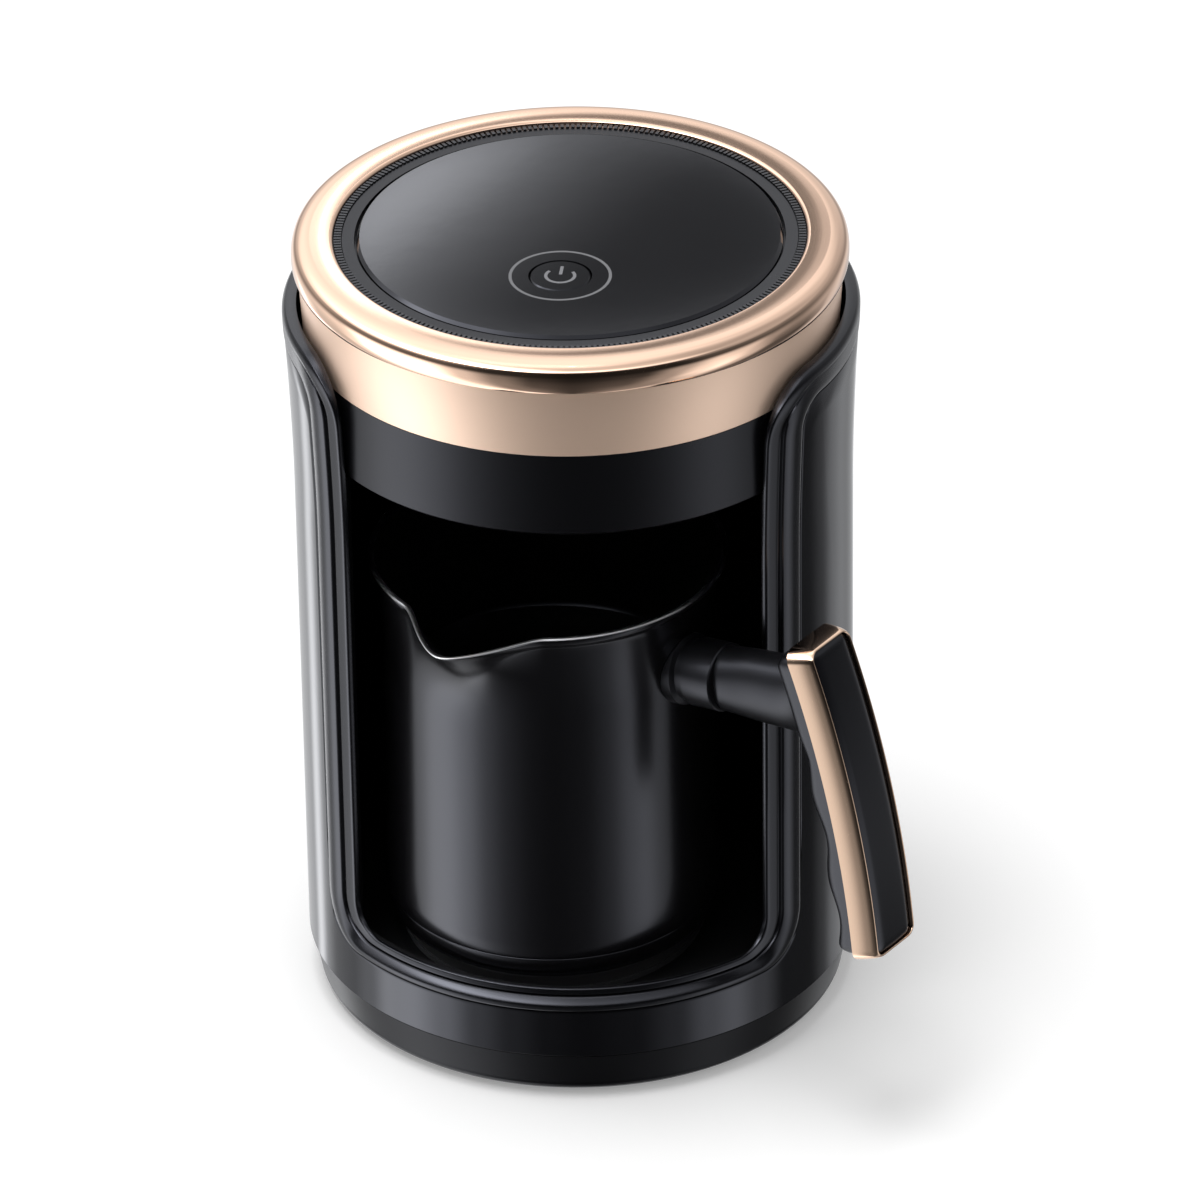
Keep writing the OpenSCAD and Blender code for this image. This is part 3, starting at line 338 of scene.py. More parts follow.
def opening_path(half, low, high, r_low, r_high, corner_n=18, sill_n=56, crest_n=132):
    """Azimuths and heights along the sill, up one side, round the crest and down the other side."""
    c_low, c_high = arc_deg(r_low), arc_deg(r_high)
    turns = quarter(corner_n)
    side = [(half - c_low * (1 - math.sin(a)), low + r_low * (1 - math.cos(a))) for a in turns]
    rise = [(half + draft * (i - 1) / 23, mix(low + r_low, high - r_high, i / 24))
            for i in range(1, 24)]
    crest = [(half + draft + c_high * (1 - math.cos(a)), high - r_high * (1 - math.sin(a)))
             for a in turns]
    side = side + rise + crest
    sill = [(mix(c_low - half, half - c_low, i / sill_n), low) for i in range(1, sill_n)]
    top = [(mix(side[-1][0], 360 - side[-1][0], i / crest_n), high) for i in range(1, crest_n)]
    return sill + side + top + [(360 - az, z) for az, z in reversed(side)]


def shell_path(out):
    """The edge of the opening in the shell, moved outwards from it by a distance."""
    return opening_path(opening_half + arc_deg(out), sill_z - out, shell_top_z - out,
                        sill_corner_r, crest_corner_r)


def outer_shell():
    """The glossy shell: columns from its lower edge up to the opening and the crest."""
    # three lines along the opening, for the rounding of the shell's rim
    edges = [shell_path(seam / 3 + x) for x in (0.35, 0.1, 0)]
    path = edges[0]
    count = len(path)
    first = next(i for i, p in enumerate(path) if p[1] > path[0][1] + 0.001)
    last = next(i for i, p in enumerate(path) if p[1] >= max(q[1] for q in path) - 0.001)
    lengths = [0.0]
    for p, q in zip(path[first - 1:last], path[first:last + 1]):
        lengths.append(lengths[-1] + math.hypot((q[0] - p[0]) * body_r * math.pi / 180, q[1] - p[1]))
    start, end = path[first - 1][0], path[last][0] + fan

    def foot(i):
        """The azimuth at which a column stands: under the sill, fanned out, then as at the crest."""
        if i < first:
            return path[i][0]
        if i <= last:
            return mix(start, end, lengths[i - first + 1] / lengths[-1])
        if path[i][0] <= 180:
            return mix(end, 180, (path[i][0] - path[last][0]) / (180 - path[last][0]))
        return None

    feet = [foot(i) for i in range(count)]
    for i in range(count):
        if feet[i] is None:
            feet[i] = 360 - feet[(first - 2 - i) % count]
    columns = [(feet[i], [edge[i] for edge in edges]) for i in range(count)]
    # the notch for the cord's bush, cut in between the columns
    notch = math.degrees(math.asin(notch_half / body_r))
    cut = []
    for one, two in zip(columns, columns[1:] + columns[:1]):
        cut.append((one[0], one[1], notch_z if abs(one[0] - 180) < notch else shell_z))
        for side, levels in ((180 - notch, (shell_z, notch_z)), (180 + notch, (notch_z, shell_z))):
            if one[0] < side < two[0]:
                t = (side - one[0]) / (two[0] - one[0])
                between = [mix_points(p, q, t) for p, q in zip(one[1], two[1])]
                cut += [(side, between, z) for z in levels]
    sections = []
    for az, (body, rim, lip), low in cut:
        outside = [skin(mix_points((az, low + 0.3), body, j / shell_rows), 0)
                   for j in range(shell_rows + 1)]
        inside = [skin(mix_points((az, low), lip, j / shell_rows), shell_t)
                  for j in range(shell_rows, -1, -1)]
        sections.append([skin((az, low), 0.3)] + outside + [skin(rim, 0.1), skin(lip, 0.35)] + inside)
    stand_for("outer_shell", new_mesh("glossy_shell", [chained(sections)]))


def opening_bezel():
    """The frame round the opening: a crowned outer step, a groove and a rounded inner step."""
    outer = shell_path(0)
    step = opening_path(opening_half - bezel_side, sill_z + bezel_end,
                        shell_top_z + crest_rise * step_rise, sill_corner_r + step_turn,
                        crest_corner_r + step_crest_turn)
    cheek = opening_path(cheek_half, sill_z + bezel_end + cheek_end, shell_top_z + crest_rise,
                         sill_corner_r + cheek_turn, crest_corner_r + cheek_crest_turn)
    # share of the inner step's width, and depth there under the outer step
    low_step = [(0.02, 0.5), (0.05, 0.9), (0.09, 1.08), (0.14, 1.1), (0.185, 0.95),
                (0.215, 0.6), (0.24, 0.42), (0.28, 0.39), (0.4, 0.44), (0.55, 0.51), (0.7, 0.58),
                (0.82, 0.64), (0.91, 0.72), (0.97, 0.9), (1.0, 1.25)]
    sections = []
    for o, s, c in zip(outer, step, cheek):
        at_crest = ease((s[1] - shell_top_z + blend_h) / (2 * blend_h))
        at_sill = ease((sill_z + bezel_end + sill_blend_h - s[1]) / sill_blend_h)
        drop = mix(mix(step_drop, sill_drop, at_sill), crest_drop, at_crest)
        section = [skin(o, 0.3), skin(mix_points(o, s, 0.02), 0.1)]
        for t in (0.06, 0.15, 0.25, 0.35, 0.45, 0.55, 0.65, 0.75, 0.85, 0.93, 1.0):
            rise = (step_crown * (1 - ((0.4 - t) / 0.4) ** 2) if t < 0.4 else
                    step_crown - (drop + step_crown) * ((t - 0.4) / 0.6) ** (2 - 0.7 * at_sill))
            section.append(skin(mix_points(o, s, t), -rise))
        for t, deep in low_step:
            crest_deep = 1.1 * max(0, (t - 0.24) / 0.76) ** 2.2
            section.append(skin(mix_points(s, c, t), drop + mix(deep, crest_deep, at_crest)))
        section += [skin(c, shell_t + 0.8 * at_crest), skin(mix_points(o, c, 0.5), shell_t),
                    skin(o, shell_t)]
        sections.append(section)
    stand_for("opening_bezel", new_mesh("bezel_moulding", [chained(sections)], 55))


outer_shell()
opening_bezel()


# ---- head ----

head_r, head_z, band_h, satin_h, cap_h = 70.2, 171.8, 23.6, 19.2, 8.2
neck_out = head_r - 1
band_top_z = head_z + band_h
satin_top_z = band_top_z + satin_h
top_seat_z = satin_top_z - 0.3
flange_r, flange_t = neck_out - 0.3, 2
annulus_z = top_seat_z + 7.4
tick_in, tick_out, tick_z, tick_deep = 59.75, 61.75, annulus_z + 0.4, 0.55
tooth_count, tooth_wide = 264, 0.85
cap_in, cap_out = tick_out + 0.15, neck_out + 3.8


def satin_band():
    """The brushed sleeve: a little wider at its top, with softened edges."""
    inner, foot, top = neck_out + slip, head_r + 0.2, head_r + 1.2
    soft = quarter(5)
    profile = ([(inner, band_top_z)] +
               [(foot - 0.3 * (1 - math.sin(a)), band_top_z + 0.3 * (1 - math.cos(a))) for a in soft] +
               [(top - 0.3 * (1 - math.cos(a)), satin_top_z - 0.3 * (1 - math.sin(a))) for a in soft] +
               [(inner, satin_top_z)])
    stand_for("satin_band", new_mesh("satin_sleeve", [turned(profile)]))


def cap_ring():
    """The polished ring: a rolled flank under a square shoulder, a flat top and a softened bore."""
    under = satin_top_z + 0.25
    crest = under + cap_h
    mid = (cap_in + cap_out) / 2
    seat_z = top_seat_z + flange_t + seat
    square, widest, sink, lip = 2 / 2.9, 0.34, 0.1, 1.0
    flank = [(mid + (cap_out - mid) * math.cos(a),
              under + cap_h * (widest + (1 - widest) * math.sin(a)))
             for a in (math.radians(-30 + 3 * i) for i in range(10))]
    flank += [(mid + (cap_out - mid) * math.cos(a) ** square,
               under + cap_h * (widest + (1 - widest) * math.sin(a) ** square) - sink)
              for a in quarter(60)[:-1]]
    fall = [(cap_in + lip * (1 - math.sin(a)), crest - sink - lip * (1 - math.cos(a)))
            for a in quarter(16)]
    profile = [(flange_r + 0.3, under)] + flank + fall + [(cap_in, seat_z), (flange_r + 0.3, seat_z)]
    stand_for("cap_ring", new_mesh("polished_cap", [turned(profile, 320)]))


def teeth_tree():
    """Radial teeth on the ring that the tree is given."""
    tree = bpy.data.node_groups.new("teeth_on_a_ring", "GeometryNodeTree")
    face = tree.interface
    face.new_socket(name="Ring", in_out="INPUT", socket_type="NodeSocketGeometry")
    for label, kind in (("Teeth", "NodeSocketInt"), ("Middle radius", "NodeSocketFloat"),
                        ("Foot height", "NodeSocketFloat"), ("Tooth size", "NodeSocketVector"),
                        ("Finish", "NodeSocketMaterial")):
        face.new_socket(name=label, in_out="INPUT", socket_type=kind)
    face.new_socket(name="Geometry", in_out="OUTPUT", socket_type="NodeSocketGeometry")
    given, out = add(tree, "NodeGroupInput"), add(tree, "NodeGroupOutput")
    circle = add(tree, "GeometryNodeMeshCircle")
    tree.links.new(given.outputs["Teeth"], circle.inputs["Vertices"])
    tree.links.new(given.outputs["Middle radius"], circle.inputs["Radius"])
    tooth = add(tree, "GeometryNodeMeshCube")
    tree.links.new(given.outputs["Tooth size"], tooth.inputs["Size"])
    index = add(tree, "GeometryNodeInputIndex").outputs[0]
    turn = math_node(tree, "DIVIDE", math_node(tree, "MULTIPLY", index, math.tau),
                     given.outputs["Teeth"])
    euler = add(tree, "ShaderNodeCombineXYZ")
    tree.links.new(turn, euler.inputs["Z"])
    rotation = add(tree, "FunctionNodeEulerToRotation")
    tree.links.new(euler.outputs[0], rotation.inputs[0])
    instances = add(tree, "GeometryNodeInstanceOnPoints")
    tree.links.new(circle.outputs["Mesh"], instances.inputs["Points"])
    tree.links.new(tooth.outputs["Mesh"], instances.inputs["Instance"])
    tree.links.new(rotation.outputs[0], instances.inputs["Rotation"])
    up = add(tree, "ShaderNodeCombineXYZ")
    tree.links.new(given.outputs["Foot height"], up.inputs["Z"])
    lift = add(tree, "GeometryNodeTransform")
    tree.links.new(instances.outputs[0], lift.inputs["Geometry"])
    tree.links.new(up.outputs[0], lift.inputs["Translation"])
    join = add(tree, "GeometryNodeJoinGeometry")
    tree.links.new(given.outputs["Ring"], join.inputs[0])
    tree.links.new(lift.outputs[0], join.inputs[0])
    real = add(tree, "GeometryNodeRealizeInstances")
    tree.links.new(join.outputs[0], real.inputs[0])
    paint = add(tree, "GeometryNodeSetMaterial")
    tree.links.new(real.outputs[0], paint.inputs["Geometry"])
    tree.links.new(given.outputs["Finish"], paint.inputs["Material"])
    tree.links.new(paint.outputs[0], out.inputs[0])
    return tree


def toothed_ring():
    """The ring of fine teeth: a plain foot with the teeth standing on it."""
    foot = tick_z - tick_deep
    low = top_seat_z + flange_t
    ring = new_mesh("tooth_ring_foot", [turned([(tick_in, low), (tick_out, low), (tick_out, foot),
                                               (tick_in, foot)])])
    holder = put(ring)
    tree = teeth_tree()
    modifier = holder.modifiers.new("teeth", "NODES")
    modifier.node_group = tree
    size = tuple(v * MM for v in (tick_out - tick_in - 0.1, tooth_wide, 2 * tick_deep))
    values = {"Teeth": tooth_count, "Middle radius": (tick_in + tick_out) / 2 * MM,
              "Foot height": foot * MM, "Tooth size": size, "Finish": finishes["teeth"]}
    for item in tree.interface.items_tree:
        if item.name in values:
            modifier[item.identifier] = values[item.name]
    seen = holder.evaluated_get(bpy.context.evaluated_depsgraph_get())
    mesh = bpy.data.meshes.new_from_object(seen)
    mesh.name = "fine_teeth"
    bpy.data.objects.remove(holder)
    stand_for("toothed_ring", mesh)


satin_band()
cap_ring()
toothed_ring()


# ---- pot ----

pot_x, pot_y, pot_z = -4.8, -21, 31.6
pot_r, neck_r, mouth_r, pot_h, pot_t, base_cap_h = 45, 44.2, 46.8, 107.8, 1, 7.3
spout_out, spout_az, spout_half, spout_fall, spout_power = 15.5, -20.5, 22, 34, 1.5
neck_h, fill_h, fill_step, bead = pot_h - 24, pot_h * 0.6, 0.9, 1.0
roll_h, spout_soft = 3.5, 4  # height of the rolled rim, degrees over which the spout's tip is rounded


def wall_r(h):
    """Radius of the round wall: a slight taper up to the neck, then a flare to the mouth."""
    if h < neck_h:
        return mix(pot_r, neck_r, max(0, h - base_cap_h) / (neck_h - base_cap_h))
    return neck_r + (mouth_r - neck_r) * ((h - neck_h) / (pot_h - neck_h)) ** 2


def spout_share(az):
    """How far out the spout is at an azimuth, as a share of its reach."""
    d = abs((az - spout_az + 540) % 360 - 180)
    s = math.hypot(d, spout_soft) - spout_soft
    return 0 if s > spout_half else (1 - s / spout_half) ** spout_power


def spout_rise(h):
    """How far out the spout is at a height, as a share of its reach at the rim."""
    return max(0, 1 - (pot_h - h) / spout_fall) ** 3


def spouted_r(az, r, h):
    return r + spout_out * spout_share(az) * spout_rise(h)


def at_pot(point):
    """A point given from the middle of the pot's foot."""
    return (point[0] + pot_x, point[1] + pot_y, point[2] + pot_z)


def pot_ring(r, h, n=360):
    """A ring of the pot's wall, drawn out into the spout."""
    return [at_pot(at(az, spouted_r(az, r, h), h))
            for az in (360 * i / n + spout_az for i in range(n))]


def pot_body():
    """The pot's wall: plain up to the neck, drawn out into the spout, with a rolled bead."""
    low = base_cap_h + seat
    inside, corner = low + 2, 3
    levels = ([low + 0.4] + [mix(12, 66, i / 5) for i in range(6)] +
              [mix(69, 105.6, i / 22) for i in range(23)])
    # the rolled rim: reach out of the wall, as a share of the bead, and depth under the rim
    roll = [(0.12, 3.3), (0.35, 2.9), (0.7, 2.4), (0.95, 1.9), (1.0, 1.5), (0.98, 1.0), (0.86, 0.55),
            (0.6, 0.2), (0.2, 0.03), (-0.2, 0.0), (-0.55, 0.12), (-0.85, 0.45), (-1.0, 1.0)]

    def inner(h):
        return wall_r(h) - pot_t - fill_step

    rings = [pot_ring(2, low), pot_ring(wall_r(low) - 0.35, low),
             pot_ring(wall_r(low) - 0.1, low + 0.1)]
    rings += [pot_ring(wall_r(h), h) for h in levels if h < pot_h - roll_h]
    rings += [pot_ring(wall_r(pot_h - q) + bead * out * (pot_t if out < 0 else 1), pot_h - q)
              for out, q in roll]
    rings += [pot_ring(wall_r(h) - pot_t, h) for h in reversed(levels) if fill_h < h < pot_h - roll_h]
    rings += [pot_ring(wall_r(fill_h) - pot_t, fill_h), pot_ring(inner(fill_h) + 0.2, fill_h - 0.05),
              pot_ring(inner(fill_h), fill_h - 0.4), pot_ring(inner(inside), inside + corner)]
    rings += [pot_ring(inner(inside) - corner * (1 - math.cos(a)), inside + corner * (1 - math.sin(a)))
              for a in quarter(8, 1)]
    rings += [pot_ring(2, inside)]
    mesh = new_mesh("pot_wall", [stacked(rings)], 50)
    stand_for("pot_body", mesh)
    # the crest of the rim gets a painted highlight line
    paint_rim_highlight(mesh)


def paint_rim_highlight(mesh):
    """Gives the crest of the pot's rolled rim a brighter metal finish: a painted highlight line along
    the rim.
    """
    mesh.materials.append(finishes["lip"])
    for face in mesh.polygons:
        x, y, h = (v / MM - place for v, place in zip(face.center, (pot_x, pot_y, pot_z)))
        out = math.hypot(x, y) - spouted_r(math.degrees(math.atan2(x, -y)), wall_r(h), h)
        if h > pot_h - 0.75 and -0.75 < out < 0.98:
            face.material_index = 1


def pot_base():
    """The cap under the pot: a rounded foot, a softened upper edge and a recess for the spreader."""
    out, base_round, base_t, spreader_r = pot_r - 0.1, 4, 2, pot_r - 4
    turn = [(out - base_round * 1.1 + base_round * math.sin(a), base_round * (1 - math.cos(a)))
            for a in quarter(16)]
    edge = [(out - 0.3 * (1 - math.cos(a)), base_cap_h - 0.3 * (1 - math.sin(a)))
            for a in quarter(5)]
    profile = ([(0, 0)] + turn + edge +
               [(spreader_r + slip, base_cap_h), (spreader_r + slip, base_t), (0, base_t)])
    points, faces = turned(profile)
    stand_for("pot_base", new_mesh("pot_foot", [([at_pot(p) for p in points], faces)]))


pot_body()
pot_base()


# ---- handle: x outwards from the pot's axis, y across, z up from the pot's foot ----

handle_az, arm_drop, arm_rise, arm_tall, arm_wide = 60, 21.8, 7, 10.8, 6.8
collar_r, collar_l, arm_root_r = 9.2, 14, pot_r - 0.5
grip_top_r, grip_foot_r, grip_rise, grip_drop = 90, 112, 2.9, 87.5
grip_bow, grip_w, grip_splay, frame_deep, core_deep, ripple = 3.4, 18.5, 1.4, 6.8, 6, 1.1
frame_t, inlay_t, grip_corner_r, ripple_pitch = 1.3, 2.2, 3.8, 24
inlay_corner_r, inlay_crown, inlay_fall, block_power = 2.8, 0.3, 0.75, 0.42
arm_h, grip_top_h = pot_h - arm_drop, pot_h + grip_rise
grip_top = Vector((grip_top_r, grip_top_h))
grip_foot = Vector((grip_foot_r, grip_top_h - grip_drop))
grip_l = (grip_foot - grip_top).length
grip_along = (grip_foot - grip_top) / grip_l
grip_out = Vector((-grip_along[1], grip_along[0]))


def on_handle(x, y, z):
    a = math.radians(handle_az)
    return at_pot((x * math.sin(a) + y * math.cos(a), y * math.sin(a) - x * math.cos(a), z))


def grip_at(s, y, deep):
    """A point of the grip: s along it from its upper end, y across it and so deep under its face."""
    u = s / grip_l
    p = grip_top + grip_along * s + grip_out * (4 * grip_bow * u * (1 - u) - deep)
    return on_handle(p[0], y, p[1])


def grip_outline(inset, deep, splay=0.0):
    """A rounded rectangle on the grip, at one depth, its long sides moved out by the splay."""
    r = max(0.05, grip_corner_r - inset)
    half, end = grip_w / 2 + splay - inset, grip_l - inset
    corners = [(end - r, half - r, 0), (inset + r, half - r, 90), (inset + r, r - half, 180),
               (end - r, r - half, 270)]
    ring = []
    for i, (s, y, start) in enumerate(corners):
        ring += [(s + r * math.cos(a + math.radians(start)), y + r * math.sin(a + math.radians(start)))
                 for a in quarter(12)]
        s2, y2, start2 = corners[(i + 1) % 4]
        a = math.radians(start2)
        target = (s2 + r * math.cos(a), y2 + r * math.sin(a))
        steps = 44 if i % 2 == 0 else 10
        here = ring[-1]
        ring += [(mix(here[0], target[0], j / steps), mix(here[1], target[1], j / steps))
                 for j in range(1, steps)]
    return [grip_at(s, y, deep) for s, y in ring]


def grip_frame():
    """The polished frame: splayed sides, a softened front edge and a plain inner wall."""
    wide, tall = frame_t - 0.3, frame_deep - 0.6
    levels = [(0, frame_deep)]
    levels += [(wide * (1 - math.cos(a)), tall * (1 - math.sin(a)))
               for a in quarter(24)]
    levels += [(frame_t - 0.15, 0.04), (frame_t - 0.04, 0.15), (frame_t, 0.35), (frame_t, frame_deep)]
    rings = [grip_outline(inset, deep, grip_splay * deep / frame_deep if inset < wide else 0)
             for inset, deep in levels]
    sections = [list(section) for section in zip(*rings)]
    stand_for("grip_frame", new_mesh("grip_border", [chained(sections)]))


def half_at(s, inset, r):
    """Half the width of a rounded rectangle on the grip, at a place along it."""
    e = r - min(r, max(0.0, s - inset), max(0.0, grip_l - inset - s))
    return grip_w / 2 - inset - r + math.sqrt(max(0.0, r * r - e * e))


def grip_inlay():
    """The glossy panel, a little crowned, with a softened edge."""
    edge = frame_t + slip
    first, last = edge, grip_l - edge
    ends = [0.02, 0.08, 0.2, 0.4, 0.7, 1.1, 1.6, 2.2, 3.2]
    places = [first + e for e in ends] + [mix(first + 4.5, last - 4.5, i / 44) for i in range(45)]
    places += [last - e for e in reversed(ends)]
    rings = []
    for s in places:
        half = half_at(s, edge, inlay_corner_r)
        near = min(s - first, last - s)
        drop = 0.7 * max(0, 1 - near / 2.2) ** 2
        ring = [grip_at(s, y, inlay_t) for y in (half, half / 3, -half / 3, -half)]
        for j in range(33):
            y = -math.cos(math.pi * j / 32)
            side = inlay_fall * max(0, (abs(y) * half - half + 3.2) / 3.2) ** 2
            ring.append(grip_at(s, y * half, 0.32 - inlay_crown * (1 - y * y) + max(side, drop)))
        rings.append(ring)
    stand_for("grip_inlay", new_mesh("grip_panel", [stacked(rings)], 60))


def arm_to(deep):
    """Length of the arm from its root to a depth under the grip's face."""
    rise = math.radians(arm_rise)
    u = (grip_top_h - arm_h - (grip_top_r - arm_root_r) * math.tan(rise)) / grip_drop
    p = grip_top + grip_along * u * grip_l + grip_out * (4 * grip_bow * u * (1 - u) - deep)
    return (p[0] - arm_root_r) * math.cos(rise) + (p[1] - arm_h) * math.sin(rise)


def arm_section(length, tall, wide, n=96):
    """An oval section across the arm, at a length from its root."""
    rise = math.radians(arm_rise)
    section = []
    for i in range(n):
        a = math.tau * i / n
        up = tall * math.cos(a)
        section.append(on_handle(arm_root_r + length * math.cos(rise) - up * math.sin(rise),
                                 wide * math.sin(a),
                                 arm_h + length * math.sin(rise) + up * math.cos(rise)))
    return section


def arm():
    """The arm: out of the collar with a softened edge, down to its waist and wider at the grip."""
    reach = arm_to(frame_deep + core_deep - 3)
    waist, taper = mix(collar_r, arm_tall, 0.6), 11
    stations = [(collar_l - 0.12, collar_r - 0.2, arm_wide + 0.2),
                (collar_l - 0.04, collar_r - 0.05, arm_wide + 0.35),
                (collar_l + 0.15, collar_r, arm_wide + 0.4)]
    for i in range(1, 9):
        t = ease(i / 8)
        stations.append((collar_l + taper * i / 8, mix(collar_r, waist, t),
                         mix(arm_wide + 0.4, arm_wide, t)))
    for i in range(1, 17):
        t = i / 16
        spread = max(0, (t - 0.45) / 0.55) ** 2.5
        stations.append((mix(collar_l + taper, reach, t), mix(waist, arm_tall, t) + 1.3 * spread,
                         arm_wide + 1.8 * spread))
    return stacked([arm_section(*station) for station in stations])


def finger_block():
    """The block behind the frame, with a back of soft corners that ripples under the fingers."""
    half_w, top_deep = grip_w / 2 + grip_splay - 0.5, frame_deep + 0.05
    first, last, soft = 0.036 * grip_l - 1.5, 0.982 * grip_l, 4.0
    ripple_from, ripple_at = 0.3 * grip_l - 4, 78
    rings = []
    for i in range(121):
        s = mix(first, last, i / 120)
        near = min(s - first, last - s)
        end = math.sqrt(max(0.0, 1 - (1 - min(1, near / soft)) ** 2))
        share = max(0, min(1, (s - ripple_from) / 8))
        wave = ripple * share * math.cos(math.tau * (s - ripple_at) / ripple_pitch)
        deep = mix(1.4, core_deep - wave, end)
        e = grip_corner_r - min(grip_corner_r, near + 0.3)
        half = half_w - grip_corner_r + math.sqrt(grip_corner_r ** 2 - e * e)
        ring = [grip_at(s, y, top_deep) for y in (half, half / 3, -half / 3, -half)]
        for j in range(1, 32):
            a = math.pi * j / 32
            across, down = -math.cos(a), math.sin(a)
            ring.append(grip_at(s, half * math.copysign(abs(across) ** block_power, across),
                                top_deep + deep * down ** block_power))
        rings.append(ring)
    return stacked(rings)


def handle_core():
    """The arm, the rippled block behind the frame and the bed under the panel."""
    edge = frame_t + slip
    bed = stacked([grip_outline(edge, deep) for deep in (inlay_t + 2 * seat, 4, 7.5)])
    stand_for("handle_core", new_mesh("handle_moulding", [arm(), finger_block(), bed], 50))


grip_frame()
grip_inlay()
handle_core()

# ---- studio ----

VIEW_TURN = 6.5
DAYLIGHT, FLOOR_COLOUR, FLOOR_GLOW = 0.4, 0.86, 0.25
FOCAL_PIXELS, PICTURE_PIXELS = 9361.0, 1200.0
EYE = (0.0064, -2.149, 1.388)  # the camera's place before it is turned by VIEW_TURN


def sheet(name, size):
    mesh = bpy.data.meshes.new(name)
    x, y = size[0] / 2, size[1] / 2
    mesh.from_pydata([(-x, -y, 0), (x, -y, 0), (x, y, 0), (-x, y, 0)], [], [(0, 1, 2, 3)])
    obj = put(mesh)
    return obj


def seen_white(tree):
    """1 for a ray that shows the white surroundings: straight from the camera, or by a reflection."""
    path = add(tree, "ShaderNodeLightPath")
    seen = math_node(tree, "MAXIMUM", path.outputs["Is Camera Ray"], path.outputs["Is Glossy Ray"])
    return math_node(tree, "MAXIMUM", seen, path.outputs["Is Transmission Ray"])


def make_floor():
    floor = sheet("floor", (14, 14))
    finish = bpy.data.materials.new("floor_pale")
    finish.use_nodes = True
    tree = finish.node_tree
    tree.nodes.remove(tree.nodes["Principled BSDF"])
    matt = add(tree, "ShaderNodeBsdfDiffuse", Color=(FLOOR_COLOUR, FLOOR_COLOUR, FLOOR_COLOUR, 1.0))
    glow = add(tree, "ShaderNodeEmission", Color=(1.0, 1.0, 1.0, 1.0))
    tree.links.new(math_node(tree, "MULTIPLY", seen_white(tree), FLOOR_GLOW),
                   glow.inputs["Strength"])
    both = add(tree, "ShaderNodeAddShader")
    tree.links.new(matt.outputs[0], both.inputs[0])
    tree.links.new(glow.outputs[0], both.inputs[1])
    tree.links.new(both.outputs[0], tree.nodes["Material Output"].inputs["Surface"])
    floor.data.materials.append(finish)
    floor.visible_glossy = False


def make_world():
    world = bpy.data.worlds.new("studio")
    bpy.context.scene.world = world
    world.use_nodes = True
    tree = world.node_tree
    back = tree.nodes["Background"]
    back.inputs["Color"].default_value = (1.0, 1.0, 1.0, 1.0)
    shown = math_node(tree, "MULTIPLY", seen_white(tree), 1 - DAYLIGHT)
    tree.links.new(math_node(tree, "ADD", shown, DAYLIGHT), back.inputs["Strength"])


def softbox(name, place, target, size, power):
    data = bpy.data.lights.new(name, "AREA")
    data.shape = "RECTANGLE"
    data.size, data.size_y = size
    data.energy = power
    lamp = bpy.data.objects.new(name, data)
    lamp.location = place
    lamp.rotation_mode = "QUATERNION"
    lamp.rotation_quaternion = (Vector(target) - Vector(place)).to_track_quat("-Z", "Y")
    bpy.context.scene.collection.objects.link(lamp)


# Brightness of the studio's walls and panels as the shiny faces show them, against the azimuth
# from the camera's side towards the right, at several elevations
WALLS = {
    -60: [(-180, 0.9), (-150, 1.0), (-120, 0.8), (-88, 2.0), (-60, 1.8), (-30, 0.25), (0, 0.06),
          (45, 0.3), (66, 0.8), (100, 0.12), (125, 0.25), (150, 0.6), (180, 0.9)],
    -30: [(-180, 0.9), (-165, 0.85), (-150, 1.0), (-142, 3.0), (-134, 1.2), (-125, 0.7), (-112, 0.7),
          (-100, 1.3), (-88, 3.2), (-75, 3.7), (-60, 2.5), (-45, 0.9), (-30, 0.32), (-15, 0.10),
          (0, 0.05), (22, 0.10), (40, 0.4), (54, 1.2), (66, 1.6), (80, 0.7), (94, 0.10),
          (112, 0.08), (122, 0.25), (132, 0.7), (140, 0.75), (152, 0.5), (162, 0.55), (172, 0.95),
          (180, 0.9)],
    -14: [(-180, 1.0), (-150, 1.1), (-125, 0.9), (-104, 1.1), (-88, 2.6), (-62, 2.4), (-45, 0.9),
          (-30, 0.25), (-15, 0.05), (0, 0.02), (28, 0.05), (45, 0.5), (60, 1.1), (74, 0.9),
          (86, 0.4), (100, 0.3), (122, 0.5), (140, 0.8), (160, 0.8), (180, 1.0)],
    4: [(-180, 0.5), (-120, 0.3), (-90, 0.2), (-60, 0.12), (-30, 0.03), (0, 0.012), (40, 0.02),
        (60, 0.08), (90, 0.12), (130, 0.3), (180, 0.5)],
    17: [(-180, 0.9), (-120, 0.5), (-90, 0.25), (-60, 0.15), (-30, 0.03), (0, 0.012), (40, 0.02),
         (60, 0.1), (90, 0.2), (130, 0.4), (180, 0.9)],
    30: [(-180, 1.15), (-165, 1.4), (-120, 1.5), (-90, 1.6), (-60, 1.2), (-42, 0.4), (-26, 0.05),
         (0, 0.02), (40, 0.04), (56, 0.3), (75, 0.5), (100, 0.55), (130, 0.55), (155, 0.6),
         (168, 0.75), (180, 1.15)],
    38: [(-180, 1.3), (-120, 2.2), (-90, 6.0), (-60, 14.0), (-30, 9.0), (0, 2.6), (40, 1.5),
         (70, 0.6), (110, 0.5), (150, 0.8), (180, 1.3)],
    52: [(-180, 1.4), (-120, 1.8), (-90, 2.4), (-60, 3.4), (-30, 2.4), (0, 0.9), (40, 0.8),
         (70, 0.5), (110, 0.5), (150, 0.9), (180, 1.4)],
    66: [(-180, 1.4), (-90, 1.5), (0, 0.85), (90, 0.6), (180, 1.4)],
    90: [(-180, 1.4), (180, 1.4)],
}


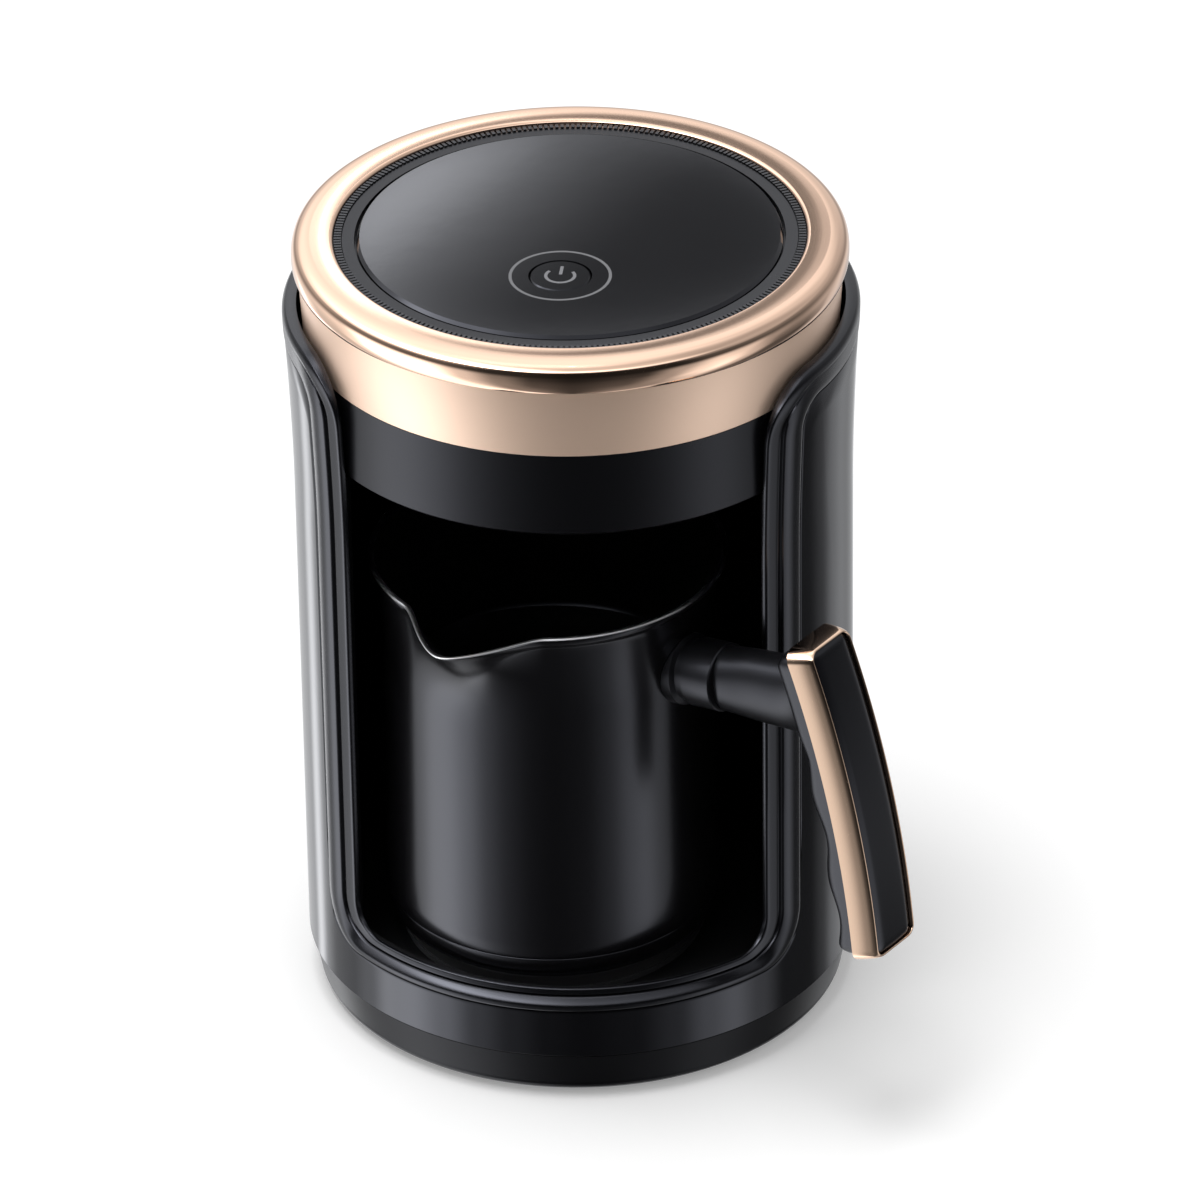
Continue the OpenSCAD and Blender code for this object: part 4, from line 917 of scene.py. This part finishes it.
def along(table, x):
    """Smooth interpolation in a list of pairs."""
    if x <= table[0][0]:
        return table[0][1]
    for (x0, y0), (x1, y1) in zip(table, table[1:]):
        if x <= x1:
            return mix(y0, y1, ease((x - x0) / (x1 - x0)))
    return table[-1][1]


def wall_glow(azimuth, elevation):
    """Brightness of the studio's walls in one direction."""
    return along([(e, along(row, azimuth)) for e, row in sorted(WALLS.items())], elevation)


def glowing(name, points, faces, strengths):
    """A panel that only reflections show, as bright at each point as it is given."""
    mesh = bpy.data.meshes.new(name)
    mesh.from_pydata(points, [], faces)
    mesh.attributes.new("glow", "FLOAT", "POINT").data.foreach_set("value", strengths)
    obj = put(mesh)
    finish = bpy.data.materials.new(name)
    finish.use_nodes = True
    tree = finish.node_tree
    tree.nodes.remove(tree.nodes["Principled BSDF"])
    light = add(tree, "ShaderNodeEmission", Color=(0.97, 0.98, 1.0, 1.0))
    tree.links.new(add(tree, "ShaderNodeAttribute", attribute_name="glow").outputs["Fac"],
                   light.inputs["Strength"])
    tree.links.new(light.outputs[0], tree.nodes["Material Output"].inputs["Surface"])
    finish.cycles.emission_sampling = "NONE"
    mesh.materials.append(finish)
    obj.visible_camera = obj.visible_diffuse = obj.visible_shadow = False
    obj.visible_transmission = obj.visible_volume_scatter = False


def make_walls():
    """The glowing dome round the machine, by azimuth from the camera's side and by elevation."""
    radius, across, up, top = 3.0, 180, 90, 89.5
    points, strengths, faces = [], [], []
    for j in range(up + 1):
        elevation = top * (2 * j / up - 1)
        for i in range(across + 1):
            azimuth = -180 + 360 * i / across
            spot = at(azimuth + VIEW_TURN, radius * math.cos(math.radians(elevation)),
                      radius * math.sin(math.radians(elevation)))
            points.append(spot)
            strengths.append(wall_glow(azimuth, elevation))
    for j in range(up):
        for i in range(across):
            a = j * (across + 1) + i
            faces.append((a, a + 1, a + across + 2, a + across + 1))
    glowing("studio_walls", points, faces, strengths)


def make_back_panel():
    """The graded panel high behind the machine, just as large as its flat top shows it."""
    turn = Matrix.Rotation(math.radians(VIEW_TURN), 3, "Z")
    across, top_z, back, disc_r = 96, 0.2224, 2.4, 0.0575
    radii = [disc_r * j / 24 for j in range(25)] + [0.0582, 0.0605]
    radii += [0.063 + 0.003 * j for j in range(12)]
    # brightness round the ring's flat top by azimuth, and over the disc from back left to front right
    ring = [(-180, 1.3), (-140, 1.6), (-100, 1.6), (-60, 1.3), (-20, 1.1), (0, 1.0), (20, 0.9),
            (40, 0.78), (60, 0.6), (80, 0.52), (100, 0.6), (120, 0.74), (140, 0.9), (160, 1.25),
            (180, 1.3)]
    disc = [(0, 5.0), (0.185, 3.9), (0.23, 2.8), (0.34, 1.05), (0.425, 0.58), (0.5, 0.32),
            (0.58, 0.17), (1, 0.13)]
    points, strengths, faces = [], [], []
    for r in radii:
        for i in range(across):
            azimuth = -180 + 360 * i / across
            x, y, _ = at(azimuth, r, 0)
            reach = (back - y) / (y - EYE[1])
            points.append(turn @ Vector((x + (x - EYE[0]) * reach, back,
                                         top_z + (EYE[2] - top_z) * reach)))
            strengths.append(along(disc, 0.5 + 5.54 * x - 3.37 * y) if r <= disc_r
                             else mix(along(ring, azimuth), 1.2, max(0, (r - 0.08) / 0.016)))
    for j in range(len(radii) - 1):
        for i in range(across):
            a, b = j * across + i, j * across + (i + 1) % across
            faces.append((a, b, b + across, a + across))
    glowing("back_panel", points, faces, strengths)


def make_camera():
    tilt, roll = math.radians(30.72), math.radians(-0.87)
    distance, target = 2.5, (EYE[0], 0.0, 0.11082)
    ahead = Vector((0.0, math.cos(tilt), -math.sin(tilt)))
    right = Vector((1.0, 0.0, 0.0))
    up = right.cross(ahead)
    right, up = (right * math.cos(roll) + up * math.sin(roll),
                 up * math.cos(roll) - right * math.sin(roll))
    place = Vector(target) - ahead * distance
    axes = Matrix((right, up, -ahead)).transposed().to_4x4()
    data = bpy.data.cameras.new("camera")
    data.sensor_width = 36.0
    data.lens = data.sensor_width * FOCAL_PIXELS / PICTURE_PIXELS
    data.clip_end = 50.0
    camera = bpy.data.objects.new("camera", data)
    camera.matrix_world = (Matrix.Rotation(math.radians(VIEW_TURN), 4, "Z")
                           @ Matrix.Translation(place) @ axes)
    bpy.context.scene.collection.objects.link(camera)
    bpy.context.scene.camera = camera


make_floor()
make_world()
make_walls()
make_back_panel()
softbox("overhead_box", (-0.9, -0.3, 6.2), (0, 0, 0.1), (2.8, 2.8), 258)
make_camera()

bpy.context.scene.view_settings.view_transform = "Standard"
